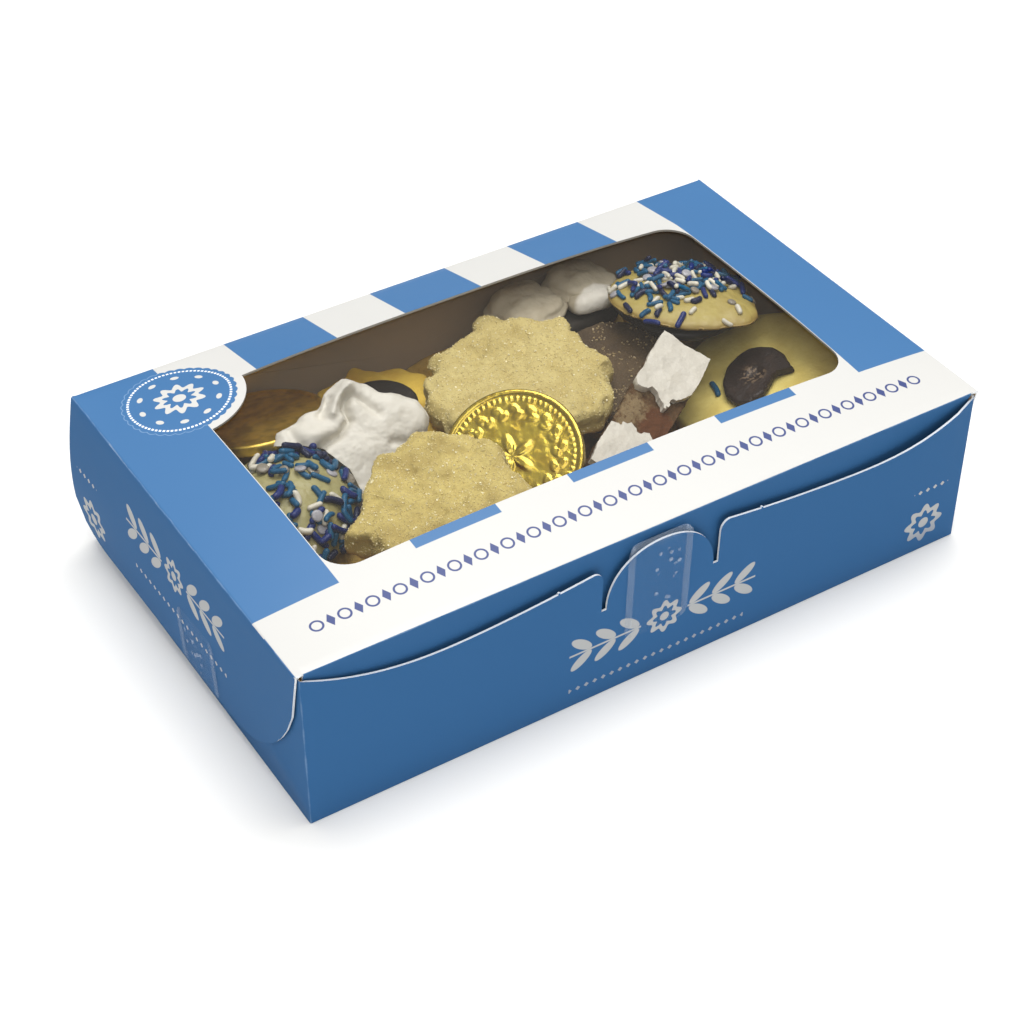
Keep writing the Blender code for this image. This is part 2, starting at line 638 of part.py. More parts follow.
def iced_cookie(name, outline, side, top, matrix, finish, seed, count, cover):
    """Domed iced cookie with sprinkles fused to its icing; cover says where sprinkles lie."""
    radius = max(reach for _, reach in outline)
    shape = shaped(outline)

    def reach(angle, z):
        uneven = ripple(1.4 * math.cos(angle), 1.4 * math.sin(angle), 0.05 * z, seed)
        return shape(angle, z) * (1.0 + 0.02 * uneven)

    def lift(x, y, z):
        return 0.5 * ripple(0.1 * x, 0.1 * y, 0.0, seed + 1) * smooth_step((z - side) / 3.0)

    body = turned(dome_profile(radius, side, top), 22, reach, lift)
    tree = BVHTree.FromBMesh(body)
    make_object(name, body, finish, matrix)
    made = bpy.context.scene.objects[name]
    scattered = bpy.data.collections.new(name + "_sprinkles")
    bpy.context.scene.collection.children.link(scattered)
    rng = random.Random(seed)
    laid = []
    tries = 0
    while len(laid) < count and tries < 4000:
        tries += 1
        angle = rng.uniform(0.0, 2.0 * math.pi)
        out = (radius - 1.4) * math.sqrt(rng.random()) * shape(angle, 0.0)
        x, y = out * math.cos(angle), out * math.sin(angle)
        if not cover(x, y):
            continue
        round_dot = len(laid) % 6 == 5
        length, width = (3.6, 3.6) if round_dot else (rng.uniform(5.2, 6.8), rng.uniform(1.7, 2.0))
        if any(math.hypot(x - px, y - py) < 0.46 * (length + reach) * rng.uniform(0.45, 1.0)
               for px, py, reach in laid):
            continue
        laid.append((x, y, length))
        hit, normal, _, _ = tree.ray_cast(Vector((x, y, 60.0)), Vector((0.0, 0.0, -1.0)))
        bm = dot_sprinkle(1.7, 1.0) if round_dot else jimmy(length, width)
        turn = normal.to_track_quat("Z", "Y").to_matrix().to_4x4()
        turn = turn @ Matrix.Rotation(rng.uniform(0.0, 2.0 * math.pi), 4, "Z")
        turn = turn @ Matrix.Rotation(rng.uniform(-0.15, 0.15), 4, "Y")
        turn.translation = hit + normal * (0.2 if round_dot else 0.28 * width)
        local = matrix @ turn
        sprinkle = bpy.data.objects.new(name + "_bit", bpy.data.meshes.new(name + "_bit"))
        bmesh.ops.transform(bm, matrix=local, verts=bm.verts)
        bmesh.ops.scale(bm, vec=(MM, MM, MM), verts=bm.verts)
        bm.to_mesh(sprinkle.data)
        bm.free()
        scattered.objects.link(sprinkle)
    fuse = made.modifiers.new("sprinkles", "BOOLEAN")
    fuse.operation = "UNION"
    fuse.operand_type = "COLLECTION"
    fuse.collection = scattered
    fuse.solver = "MANIFOLD"
    bake(made)
    for sprinkle in list(scattered.objects):
        bpy.data.objects.remove(sprinkle)
    bpy.data.collections.remove(scattered)


def bake(made):
    """Replace an object's mesh by the result of its modifiers."""
    bpy.context.view_layer.update()
    graph = bpy.context.evaluated_depsgraph_get()
    result = bpy.data.meshes.new_from_object(made.evaluated_get(graph))
    result.name = made.name
    made.modifiers.clear()
    made.data = result


def meringue_front(finish):
    """Soft star of meringue leaning back on its neighbours; its peak is at the top."""
    mean = 15.0

    def reach(angle, z):
        return outline_radius(MERINGUE_OUTLINE, math.degrees(angle)) / mean

    def lift(x, y, z):
        if z < 0.0:
            return 0.0
        valley = 1.8 * math.exp(-(((x + 5.5 + 0.35 * y) / 2.8) ** 2)) * smooth_step((y + 6.0) / 10.0)
        ridge = 1.2 * math.exp(-(((x - 0.5 + 0.2 * y) / 4.0) ** 2)) * smooth_step((y + 2.0) / 12.0)
        left = 1.6 * math.exp(-(((x + 14.0) / 6.0) ** 2 + ((y - 4.0) / 5.0) ** 2))
        return ridge + left - valley + 0.4 * ripple(0.12 * x, 0.12 * y, 0.0, 5)

    profile = [
        (0.0, -8.0),
        (0.6 * mean, -7.0),
        (0.9 * mean, -4.6),
        (mean, -2.0),
        (0.97 * mean, -0.1),
        (0.86 * mean, 1.2),
        (0.62 * mean, 1.9),
        (0.4 * mean, 2.2),
        (0.2 * mean, 2.4),
        (0.0, 2.4),
    ]
    normal = Vector((-0.066, -0.633, 0.771)).normalized()
    side = Vector((1.0, 0.0, 0.0))
    side = (side - normal * side.dot(normal)).normalized()
    matrix = Matrix((side, normal.cross(side), normal)).transposed().to_4x4()
    matrix.translation = Vector((-40.0, 16.0, 41.0)) - normal * 1.6
    make_object("meringue_front", turned(profile, 40, reach, lift), finish, matrix)


def kiss_profile(radius, height):
    """Side view of a low swirl of meringue."""
    return [
        (0.0, 0.0),
        (0.9 * radius, 0.0),
        (radius, 0.2 * height),
        (0.97 * radius, 0.42 * height),
        (0.85 * radius, 0.66 * height),
        (0.6 * radius, 0.87 * height),
        (0.3 * radius, 0.97 * height),
        (0.0, height),
    ]


def meringue_back(white, dark):
    """Two joined mounds of meringue on a dark base."""

    def swirl(angle, z):
        return 1.0 + 0.035 * math.cos(5.0 * angle + 0.25 * z)

    left = turned(kiss_profile(11.6, 7.6), 20, swirl)
    make_object("meringue_back", left, white, placed((30.5, 48.0, 34.7), 3.0, 200.0))
    right = turned(kiss_profile(11.0, 7.6), 20, swirl)
    make_object("mound_right", right, white, placed((50.4, 49.6, 34.9), 3.0, 20.0))
    lip = turned(kiss_profile(4.2, 5.4), 12, lambda angle, z: 1.0 + 0.75 * math.cos(angle) ** 2)
    make_object("mound_lip", lip, white, placed((49.2, 41.9, 35.6), 0.0, 0.0, -4.0))
    made = bpy.context.scene.objects["meringue_back"]
    for name in ("mound_right", "mound_lip"):
        mound = bpy.context.scene.objects[name]
        fuse = made.modifiers.new("mound", "BOOLEAN")
        fuse.operation = "UNION"
        fuse.object = mound
        bake(made)
        bpy.data.objects.remove(mound)

    half, radius = 10.5, 11.6

    def capsule(angle, z):
        c, s = abs(math.cos(angle)), abs(math.sin(angle))
        if half * s > radius * c:
            return 1.0 / s
        return (half * c + math.sqrt(radius * radius - (half * s) ** 2)) / radius

    profile = [(0.0, 0.0), (10.0, 0.0), (radius, 2.0), (radius, 5.8), (10.2, 7.3), (0.0, 7.4)]
    bm = turned(profile, 28, capsule)
    make_object("meringue_back_base", bm, dark, placed((40.4, 49.0, 26.6), 0.0, 0.0, 5.4))


def iced_bar(core, icing):
    """Bar with its icing broken away in the middle."""
    along = Vector((-0.830, -0.540, -0.140)).normalized()
    across = Vector((0.506, -0.747, -0.4305))
    across = (across - along * across.dot(along)).normalized()
    up = along.cross(across)
    matrix = Matrix((along, across, up)).transposed().to_4x4()
    matrix.translation = Vector((47.4, 3.6, 50.1))
    body = [(0.4, 0.5), (14.0, 0.0), (30.0, 0.3), (46.0, 0.0), (52.0, 0.8), (51.4, 8.0), (52.2, 14.6)]
    body += [(40.0, 15.4), (25.0, 14.9), (10.0, 15.3), (0.0, 14.8), (0.5, 7.5)]
    upper = [(0.0, 0.0), (10.0, -0.2), (20.2, 0.0), (21.8, 1.8), (19.8, 5.0), (21.8, 8.1), (24.2, 10.6)]
    upper += [(20.4, 11.4), (18.2, 13.2), (14.6, 15.2), (6.0, 15.3), (-0.2, 14.9), (0.3, 7.0)]
    lower = [(37.6, 0.0), (45.0, -0.2), (52.2, 0.4), (51.8, 8.0), (52.4, 15.0), (40.6, 15.5), (36.2, 13.0)]
    lower += [(34.4, 10.4), (35.3, 7.4), (34.2, 4.4), (36.6, 2.4)]
    for name, outline, low, high, finish in (
        ("bar_core", body, -8.0, -2.5, core),
        ("bar_icing_upper", upper, -2.2, 0.0, icing),
        ("bar_icing_lower", lower, -2.2, 0.0, icing),
    ):
        bm = bmesh.new()
        prism(bm, outline, low, high)
        edges = [edge for edge in bm.edges if len({round(v.co.z, 3) for v in edge.verts}) == 1]
        bmesh.ops.bevel(bm, geom=edges, offset=0.5, segments=1, affect="EDGES")
        make_object(name, bm, finish, matrix)


def dust(angle_lean, low, high):
    """Cover function: sprinkles lie where the direction or the radius falls in the given part."""

    def cover(x, y):
        lean = x * math.cos(math.radians(angle_lean)) + y * math.sin(math.radians(angle_lean))
        return low < lean < high

    return cover


def press(name, bm, matrix):
    """Press a neighbour's shape, grown by a clearance, into a soft piece."""
    made = bpy.context.scene.objects[name]
    make_object("neighbour", bm, made.data.materials[0], matrix)
    neighbour = bpy.context.scene.objects["neighbour"]
    cut = made.modifiers.new("contact", "BOOLEAN")
    cut.operation = "DIFFERENCE"
    cut.object = neighbour
    bake(made)
    bpy.data.objects.remove(neighbour)


FRONT_ICED = placed((-67.7, 6.0, 28.4), 7.0, 228.0)


def contents():
    """Every cookie, meringue and coin."""
    golden = material("golden_biscuit", (0.62, 0.40, 0.15), 0.75)
    sugar = material("sugar_biscuit", (0.72, 0.60, 0.34), 0.8)
    white = material("meringue", (0.85, 0.82, 0.74), 0.7)
    icing = material("icing", (0.84, 0.80, 0.70), 0.6)
    cream = material("cream_icing", (0.78, 0.68, 0.44), 0.6)
    brown = material("brown_biscuit", (0.26, 0.16, 0.08), 0.85)
    chocolate = material("chocolate", (0.08, 0.05, 0.035), 0.5)
    foil = material("gold_foil", (0.66, 0.52, 0.12), 0.28, metallic=1.0)

    for name, x, y, seed in (
        ("low_cookie_1", -67.0, -31.0, 11),
        ("low_cookie_2", 0.0, -31.0, 12),
        ("low_cookie_3", 67.0, -31.0, 13),
        ("low_cookie_4", -67.0, 31.0, 14),
        ("low_cookie_5", 0.0, 31.0, 15),
        ("low_cookie_6", 67.0, 31.0, 16),
    ):
        plain_cookie(name, (x, y, LAYER_LOW), 29.5, seed, golden)
    for name, x, y, radius, seed in (
        ("mid_cookie_1", -67.0, -31.5, 29.0, 21),
        ("mid_cookie_2", -67.0, 31.5, 29.0, 22),
        ("mid_cookie_3", -4.0, -31.5, 29.0, 23),
        ("mid_cookie_4", 6.0, 31.0, 29.0, 24),
        ("mid_cookie_5", 56.0, -45.2, 15.0, 25),
        ("mid_cookie_6", 80.0, 43.5, 15.5, 26),
        ("mid_cookie_7", 49.0, 46.5, 14.0, 27),
    ):
        plain_cookie(name, (x, y, LAYER_HIGH), radius, seed, golden)

    matrix = on_top((71.5, -8.5, 33.5), 11.5, 22.0, 162.0)
    cut_cookie("cookie_button", [(a, 26.3 + 0.3 * math.cos(0.09 * a)) for a in range(0, 360, 45)],
               11.5, 36, matrix, sugar, 31, dimple=1.2, rough=0.3)
    button = matrix @ Matrix.Translation((-1.3, -1.7, 11.6))
    disc_profile = [(0.0, 0.0), (9.5, 0.0), (10.2, 0.5), (10.2, 1.7), (9.5, 2.3), (0.0, 2.1)]

    def broken(angle, z):
        return outline_radius(DISC_OUTLINE, math.degrees(angle)) / 10.2

    make_object("button_disc", turned(disc_profile, 60, broken), chocolate, button)

    cut_cookie("cookie_flower", FLOWER_OUTLINE, 7.4, 42, placed((-25.7, 33.4, 26.5)), sugar, 32,
               dimple=0.8, rough=0.3)
    make_object("flower_disc", turned(disc_profile, 16), chocolate, placed((-25.5, 33.4, 33.9)))
    cut_cookie("cookie_brown", [(a, 21.0 + 0.7 * math.cos(0.11 * a)) for a in range(0, 360, 30)],
               7.8, 30, on_top((38.0, 13.0, 36.1), 7.8, 6.0, 180.0), brown, 33, rough=0.7)
    cut_cookie("cookie_sugar_back", SUGAR_OUTLINE, 9.0, 60, placed((8.2, 15.4, 35.3), 3.5, 180.0),
               sugar, 34, rough=0.9)
    cut_cookie("cookie_sugar_front", SUGAR_FRONT_OUTLINE, 9.0, 56,
               on_top((-38.9, -23.4, 46.8), 7.0, 9.0, 180.0), sugar, 35, rough=0.9)
    leaning = placed((-11.7, -12.6, 41.2), 34.0, 216.9) @ Matrix.Translation((0.0, 0.0, -1.8))
    coin("coin_front", 19.0, 3.6, leaning, foil, 36)
    resting = placed((-58.5, 42.8, 36.0), 16.0, 90.0) @ Matrix.Translation((0.0, 0.0, -1.6))
    coin("coin_back", 19.0, 3.3, resting, foil, 28)

    meringue_front(white)
    press("meringue_front", turned(dome_profile(25.4, 7.6, 20.8), 24, shaped(ICED_FRONT_OUTLINE)),
          FRONT_ICED @ Matrix.Translation((0.0, 0.0, -1.0)))
    press("meringue_front", turned([(0.0, 0.0), (22.0, 0.0), (22.0, 8.3), (0.0, 8.3)], 28),
          placed((-25.5, 33.4, 26.0)))
    press("meringue_front", turned([(0.0, 0.0), (19.3, 0.0), (19.3, 4.1), (0.0, 4.1)], 28),
          resting @ Matrix.Translation((0.0, 0.0, -0.4)))
    meringue_back(white, chocolate)
    iced_bar(brown, icing)

    iced_cookie("cookie_sprinkled_front", ICED_FRONT_OUTLINE, 6.5, 17.2, FRONT_ICED, cream, 41, 30,
                dust(-70.0, -15.0, 11.5))
    stack = placed((65.6, 19.2, 44.3), 10.5, 52.0)
    iced_cookie("cookie_sprinkled_back", ICED_BACK_OUTLINE, 2.0, 6.8, stack, cream, 42, 30,
                dust(70.0, -9.0, 40.0))
    make_object("cookie_chocolate", turned(biscuit_profile(21.6, 3.8, 0.5), 28, shaped(CHOCOLATE_OUTLINE)),
                chocolate, stack @ Matrix.Translation((0.7, -0.5, -4.2)))


def main():
    for leftover in list(bpy.data.objects):
        bpy.data.objects.remove(leftover)
    carton()
    window_film()
    front_seal()
    side_seal()
    contents()


main()
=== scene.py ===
"""Box of cookies as it is seen: the printed carton with its film window and seals, and the
cookies, meringues, iced bar and foil coins inside it.

Lengths are in millimetres and are scaled to metres as each mesh is made. Colours are given
as display values of 0 to 255.
"""
import math
import random

import bmesh
import bpy
import numpy as np
from mathutils import Matrix, Vector, noise
from mathutils.bvhtree import BVHTree
from mathutils.geometry import delaunay_2d_cdt


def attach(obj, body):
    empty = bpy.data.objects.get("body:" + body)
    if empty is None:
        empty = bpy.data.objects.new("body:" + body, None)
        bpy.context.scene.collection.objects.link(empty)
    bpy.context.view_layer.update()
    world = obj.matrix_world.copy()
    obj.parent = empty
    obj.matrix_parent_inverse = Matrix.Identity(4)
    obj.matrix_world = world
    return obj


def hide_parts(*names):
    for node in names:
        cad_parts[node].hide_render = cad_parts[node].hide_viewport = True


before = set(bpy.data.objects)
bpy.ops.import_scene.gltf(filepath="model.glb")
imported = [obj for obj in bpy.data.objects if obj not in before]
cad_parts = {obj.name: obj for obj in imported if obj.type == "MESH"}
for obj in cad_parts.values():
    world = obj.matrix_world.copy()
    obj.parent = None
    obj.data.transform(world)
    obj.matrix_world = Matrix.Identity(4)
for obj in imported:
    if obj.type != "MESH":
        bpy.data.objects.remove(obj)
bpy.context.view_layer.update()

MM = 0.001
GAP = 0.3
WELD = 0.01
FINE = 0.0001
TURN = 2.0 * math.pi

# Carton
BOARD = 0.6
HALF_LENGTH = 101.3
HALF_WIDTH = 62.7
HEIGHT = 49.7
LID_HALF_LENGTH = HALF_LENGTH + GAP + BOARD
END_WALL_HEIGHT = 48.6
LID_RISE = 6.7
LID_CREST_Y = 6.0
LID_BEND_Y = 42.0
FRONT_FLAP_HALF = 100.0
FRONT_FLAP_ROWS = [(-61.75, 47.2, 0.0), (-61.3, 35.0, 1.0), (-60.9, 22.0, 3.0)]
FOLD_RADIUS = 0.45
# Material slots; the last is a darker, greyer copy of the cut board, painted shade on the cut
# edges round the window.
PRINTED, BLUE_BOARD, INNER, CUT, SHADED_CUT = 0, 1, 2, 4, 6

# Front wall's top edge, with its tab between two slots
FRONT_CORNER_Z = 48.0
FRONT_DIP_Z = 39.1
FRONT_DIP_X = 62.0
FRONT_SHOULDER_Z = 42.7
FRONT_SHOULDER_X = 20.5
SHOULDER_DROP = 3.2
SLOT_OUTER_X = 17.9
SLOT_Z = 29.3
TAB_HALF = 16.4
TAB_TOP_Z = 45.6
TAB_POWER = 2.15
NICK_X = 30.5
NICK = 0.5

# Side flaps
FLAP_BOTTOM_Z = 5.2
FLAP_FRONT_RUN = 36.7
FLAP_FRONT_POWER = 1.8
FLAP_BACK_RUN = 14.0
FLAP_BACK_DROP = 12.0
FLAP_BULGE = 3.2

# Window
WINDOW_HALF_X = 78.6
WINDOW_FRONT_Y = -38.1
WINDOW_BACK_Y = 42.0
WINDOW_RADIUS = 8.0
LOBE_X = -79.6
LOBE_Y = 43.7
LOBE_RADIUS = 17.6

# Print
BLUE = (56, 107, 156)
# The walls' blue is the lid's ink set a touch darker, painted shade for the walls and flaps.
WALL_BLUE = (57, 104, 153)
INK = (52, 66, 120)
CARD = (202, 201, 197)
SILVER = (188, 190, 190)
STRIPE_STEP = 45.5
STRIPE_HALF = 12.2
STRIPE_FRONT_Y = -41.3
BADGE_RADIUS = 15.2
BADGE_RING = 13.6
BADGE_DOTS_AT = 10.6
BORDER_Y = -50.6
BORDER_HALF = 91.9
BORDER_STEP = 7.5
BEAD_STEP = 2.6
BEAD_SIZE = 0.75
LEAF_REACH = 5.4

# Seals
SEAL = 0.25
SEAL_HALF = 9.7
SEAL_X = -1.0
SEAL_LOW_Z = 16.0
SEAL_TOP_Z = 47.2
SIDE_SEAL_Y = -9.0
SIDE_SEAL_HIGH_Z = 25.0


def smooth_step(value):
    """Ease from 0 to 1."""
    value = min(max(value, 0.0), 1.0)
    return value * value * (3.0 - 2.0 * value)


def tone(red, green, blue):
    """Linear colour from display values."""
    linear = []
    for value in (red, green, blue):
        share = value / 255.0
        linear.append(share / 12.92 if share <= 0.04045 else ((share + 0.055) / 1.055) ** 2.4)
    return (*linear, 1.0)


# Materials
def math_step(operation):
    """Method that feeds a field, and what else it is given, into one math node."""
    return lambda self, *others: self.op(operation, *others)


class Field:
    """A number that varies over a surface, worked out by math nodes."""

    def __init__(self, tree, socket):
        self.tree = tree
        self.socket = socket

    def op(self, operation, *others, clamp=False):
        node = self.tree.nodes.new("ShaderNodeMath")
        node.operation = operation
        node.use_clamp = clamp
        for place, value in zip(node.inputs, (self, *others)):
            if isinstance(value, Field):
                self.tree.links.new(value.socket, place)
            else:
                place.default_value = value
        return Field(self.tree, node.outputs[0])

    __add__, __sub__ = math_step("ADD"), math_step("SUBTRACT")
    __mul__, __truediv__ = math_step("MULTIPLY"), math_step("DIVIDE")
    __abs__, low, high = math_step("ABSOLUTE"), math_step("MINIMUM"), math_step("MAXIMUM")

    def above(self, value):
        """Value minus self, for masks of the region over a level."""
        return self.op("MULTIPLY_ADD", -1.0, value)

    def cosine(self, times):
        return (self * times).op("COSINE")

    def shape(self, soft=0.12):
        """1 where the number is negative, 0 where it is positive, with a soft edge."""
        return self.op("MULTIPLY_ADD", -1.0 / soft, 0.5, clamp=True)

    def ramp(self, low, high):
        """0 at low and below, 1 at high and above."""
        scale = 1.0 / (high - low)
        return self.op("MULTIPLY_ADD", scale, -low * scale, clamp=True)


class Surface:
    """A material with a Principled shader and the nodes that vary it."""

    def __init__(self, name, colour, roughness=0.5, **sockets):
        self.material = bpy.data.materials.new(name)
        self.material.use_nodes = True
        self.tree = self.material.node_tree
        self.shader = self.tree.nodes["Principled BSDF"]
        self.colour = tone(*colour)
        self.vector = None
        self.relief = None
        for socket, value in dict(sockets, base_color=self.colour, roughness=roughness).items():
            label = socket.replace("_", " ").title().replace("Ior", "IOR")
            self.shader.inputs[label].default_value = value

    def node(self, kind, **settings):
        made = self.tree.nodes.new(kind)
        for key, value in settings.items():
            setattr(made, key, value)
        return made

    def link(self, start, end):
        self.tree.links.new(start, end)

    def coordinates(self):
        """Object coordinates in millimetres."""
        if self.vector is None:
            source = self.node("ShaderNodeTexCoord")
            scaled = self.node("ShaderNodeVectorMath", operation="SCALE")
            scaled.inputs["Scale"].default_value = 1.0 / MM
            self.link(source.outputs["Object"], scaled.inputs[0])
            self.vector = scaled.outputs[0]
        return self.vector

    def axes(self):
        split = self.node("ShaderNodeSeparateXYZ")
        self.link(self.coordinates(), split.inputs[0])
        return [Field(self.tree, output) for output in split.outputs]

    def texture(self, kind, output, size, **inputs):
        made = self.node(kind)
        for name, value in dict(inputs, Scale=1.0 / size).items():
            made.inputs[name].default_value = value
        self.link(self.coordinates(), made.inputs["Vector"])
        return Field(self.tree, made.outputs[output])

    def cloud(self, size, detail=3.0, roughness=0.55):
        """Noise between 0 and 1 with features of a size in millimetres."""
        return self.texture("ShaderNodeTexNoise", "Fac", size, Detail=detail, Roughness=roughness)

    def cells(self, size):
        """Distance to scattered points, as a share of their spacing."""
        return self.texture("ShaderNodeTexVoronoi", "Distance", size)

    def paint(self, mask, colour, shade=1.0):
        """Lay a colour over what is there, where the mask is 1."""
        mixer = self.node("ShaderNodeMix", data_type="RGBA")
        self.link(mask.socket, mixer.inputs["Factor"])
        under, over, result = mixer.inputs[6], mixer.inputs[7], mixer.outputs[2]
        if isinstance(self.colour, tuple):
            under.default_value = self.colour
        else:
            self.link(self.colour, under)
        over.default_value = (*(shade * part for part in tone(*colour)[:3]), 1.0)
        self.colour = result
        self.link(result, self.shader.inputs["Base Color"])

    def bump(self, field, depth):
        """Add low relief; depth is in millimetres for a field from 0 to 1."""
        made = self.node("ShaderNodeBump")
        made.inputs["Distance"].default_value = depth * MM
        self.link(field.socket, made.inputs["Height"])
        if self.relief is not None:
            self.link(self.relief, made.inputs["Normal"])
        self.relief = made.outputs["Normal"]
        self.link(self.relief, self.shader.inputs["Normal"])


def ellipse(x, y, cx, cy, across, along, angle=0.0):
    """Signed measure of an ellipse turned by degrees: below zero inside, about in mm."""
    c, s = math.cos(math.radians(angle)), math.sin(math.radians(angle))
    dx, dy = x - cx, y - cy
    u = (dx * c + dy * s) / across
    v = (dy * c - dx * s) / along
    return ((u * u + v * v).op("SQRT") - 1.0) * min(across, along)


def radius_of(x, y):
    return (x * x + y * y).op("SQRT")


def rosette(x, y, size, petals=8):
    """Mask of a flower: a scalloped ring with a dot in the middle."""
    radius, angle = radius_of(x, y), y.op("ARCTAN2", x)
    outer = radius - angle.cosine(petals) * (0.13 * size) - 0.82 * size
    inner = (radius - angle.cosine(petals) * (0.1 * size)).above(0.52 * size)
    return outer.high(inner).low(radius - 0.24 * size).shape()


def garland(x, y, half):
    """Mask of a leafy sprig along x, mirrored about the middle, with a flower there."""
    side, up, leaf = abs(x), abs(y), half / 4.0
    along = side.op("MODULO", leaf)
    leaves = ellipse(along, up, 0.5 * leaf, 0.52 * LEAF_REACH, 0.52 * leaf,
                     0.27 * LEAF_REACH, 38.0)
    sprig = leaves.low(up - 0.3).high(side - half).high(side.above(leaf))
    return sprig.shape().high(rosette(x, y, 0.2 * half))


def beads(x, y, half):
    """Mask of a row of small diamonds along x."""
    along = abs(x + 0.5 * BEAD_STEP).op("PINGPONG", 0.5 * BEAD_STEP)
    return (abs(along) + abs(y) - BEAD_SIZE).high(abs(x) - half).shape()


def ornaments(along, up, sprig, rows, corner):
    """Mask of a sprig, rows of diamonds and a rosette, each given by its place and half length."""
    art = garland(along - sprig[0], up - sprig[1], sprig[2])
    for x, y, half in rows:
        art = art.high(beads(along - x, up - y, half))
    return art.high(rosette(along - corner[0], up - corner[1], 7.0))


def board_finish(made):
    """Fibres and slight waviness of printed board."""
    made.bump(made.cloud(0.5, 2.0), 0.015)
    made.bump(made.cloud(14.0, 1.0), 0.08)
    return made.material


def lid_print():
    """Blue and white stripes, round badge and the border row on the front band."""
    made = Surface("lid_print", CARD, 0.42)
    x, y, _ = made.axes()
    nearest = (x / STRIPE_STEP).op("ROUND")
    stripe = abs(x - nearest * STRIPE_STEP) - STRIPE_HALF
    stripe = stripe.high(y.above(STRIPE_FRONT_Y))
    bx, by = x - LOBE_X, y - LOBE_Y
    radius, angle = radius_of(bx, by), by.op("ARCTAN2", bx)
    badge = radius - abs((angle * 18.0).op("SINE")) * 0.5 - (BADGE_RADIUS - 0.35)
    made.paint(stripe.low(badge).shape(), BLUE)
    edge = (abs(badge) - 0.12).shape()
    made.paint(edge * stripe.shape() * 0.35, (170, 196, 224))
    dots = abs((angle * 40.0).op("SINE")).above(0.55)
    ring = (abs(radius - BADGE_RING) - 0.33).high(dots * 0.6)
    made.paint(ring.shape(), (236, 240, 244))
    made.paint(rosette(bx, by, 7.4, 10), CARD)
    turn = (angle * (10.0 / math.pi)).op("PINGPONG", 1.0) * (BADGE_DOTS_AT * math.pi / 10.0)
    made.paint(ellipse(turn, radius, 0.0, BADGE_DOTS_AT, 1.15, 0.75).shape(), CARD)
    up = y - BORDER_Y
    along = abs(x).op("PINGPONG", 0.5 * BORDER_STEP)
    ring = abs(radius_of(along, up) - 1.55) - 0.28
    lozenge = along.above(0.5 * BORDER_STEP) + abs(up) * 0.55 - 1.15
    made.paint(ring.low(lozenge).high(abs(x) - BORDER_HALF).shape(), INK)
    fold = (abs(x).above(LID_HALF_LENGTH)).low(abs(y).above(HALF_WIDTH))
    paler_near_edges = made.cloud(6.0) * 0.9 + fold
    made.paint(paler_near_edges.above(0.75).ramp(0.0, 0.35) * 0.3, (215, 222, 230))
    return board_finish(made)


def wall_print():
    """Blue board of the walls and flaps, with pale ornaments on the front wall and left flap."""
    made = Surface("wall_print", WALL_BLUE, 0.5, specular_ior_level=0.03)
    x, y, z = made.axes()
    front = ornaments(x, z, (2.0, 18.0, 29.0), ((0.6, 5.8, 27.5), (90.0, 22.0, 6.0)),
                      (89.2, 10.0))
    made.paint(front * (y + HALF_WIDTH).shape(0.4), SILVER)
    left = ornaments(y, z, (1.5, 33.0, 27.0), ((0.2, 19.6, 25.0), (52.5, 30.0, 6.0)),
                     (51.5, 16.5))
    made.paint(left * (x + LID_HALF_LENGTH - 0.1).shape(0.2), SILVER)
    corner = abs(x).above(HALF_LENGTH).high(abs(y + HALF_WIDTH))
    fold = corner.low(abs(z)).low(abs(z - HEIGHT))
    # Paler patches along the front corner and the top and bottom edges.
    paler_near_edges = made.cloud(5.0) * 0.9 + abs(fold)
    made.paint(paler_near_edges.above(0.8).ramp(0.0, 0.35) * 0.35, (160, 186, 216))
    return board_finish(made)


def plain_board(name, colour):
    made = Surface(name, colour, 0.7)
    made.paint(made.cloud(9.0).ramp(0.4, 0.75) * 0.25, colour, shade=0.82)
    return board_finish(made)


def seal_film(name, axis, middle, top):
    """Clear seal that shows as two faint bands, with trapped bubbles between them."""
    made = Surface(name, (190, 206, 226), 0.25)
    axes = made.axes()
    across, z = axes[axis] - middle, axes[2]
    band = abs(across).ramp(SEAL_HALF - 2.2, SEAL_HALF - 1.8)
    bubble = made.cells(2.3).above(0.3).ramp(0.0, 0.08) * made.cloud(4.0).ramp(0.42, 0.48)
    bubble = bubble * ellipse(across, z, 2.5, top - 13.0, 4.5, 10.0).shape(1.0)
    lifted = z.ramp(top - 2.2, top - 1.4)
    alpha = band * 0.09 + bubble * 0.35 + lifted * 0.1 + 0.015
    made.link(alpha.socket, made.shader.inputs["Alpha"])
    return made.material


def paint_front_shade(made, colour):
    """Painted shade: darker colour towards a cookie's front edge."""
    x, y, _ = made.axes()
    made.paint((x * -0.5 - y * 0.85).ramp(0.0, 24.0) * 0.6, colour)


def crumbly(name, colour, dark, baked, grain=0.28, roughness=0.8, front=None):
    """Baked dough: mottled, with a browner underside and edge, and painted shade towards the front
    edge where front gives its colour.
    """
    made = Surface(name, colour, roughness)
    if front:
        paint_front_shade(made, front)
    z = made.axes()[2]
    made.paint(made.cloud(5.0, 4.0).ramp(0.42, 0.72) * 0.55, dark)
    made.paint(made.cloud(0.9, 2.0).ramp(0.5, 0.75) * 0.35, dark)
    made.paint(made.cloud(11.0, 2.0).ramp(0.48, 0.68) * 0.45, dark)
    low = (z + made.cloud(3.0) * 2.0).above(4.2).ramp(0.0, 3.0)
    made.paint(low * 0.75, baked)
    made.bump(made.cloud(0.55, 3.0, 0.7), grain)
    made.bump(made.cells(1.1), 0.5 * grain)
    return made.material


def speckled(name, colour, flecks, roughness, size=1.3, depth=0.12, share=0.2, shine=0.5):
    """Smooth surface with small flecks of another colour."""
    made = Surface(name, colour, roughness, specular_ior_level=shine)
    made.paint(made.cells(size).above(share).ramp(0.0, 0.06) * 0.6, flecks)
    made.paint(made.cloud(7.0, 3.0).ramp(0.45, 0.75) * 0.3, flecks)
    made.bump(made.cloud(0.8, 3.0), depth)
    return made.material


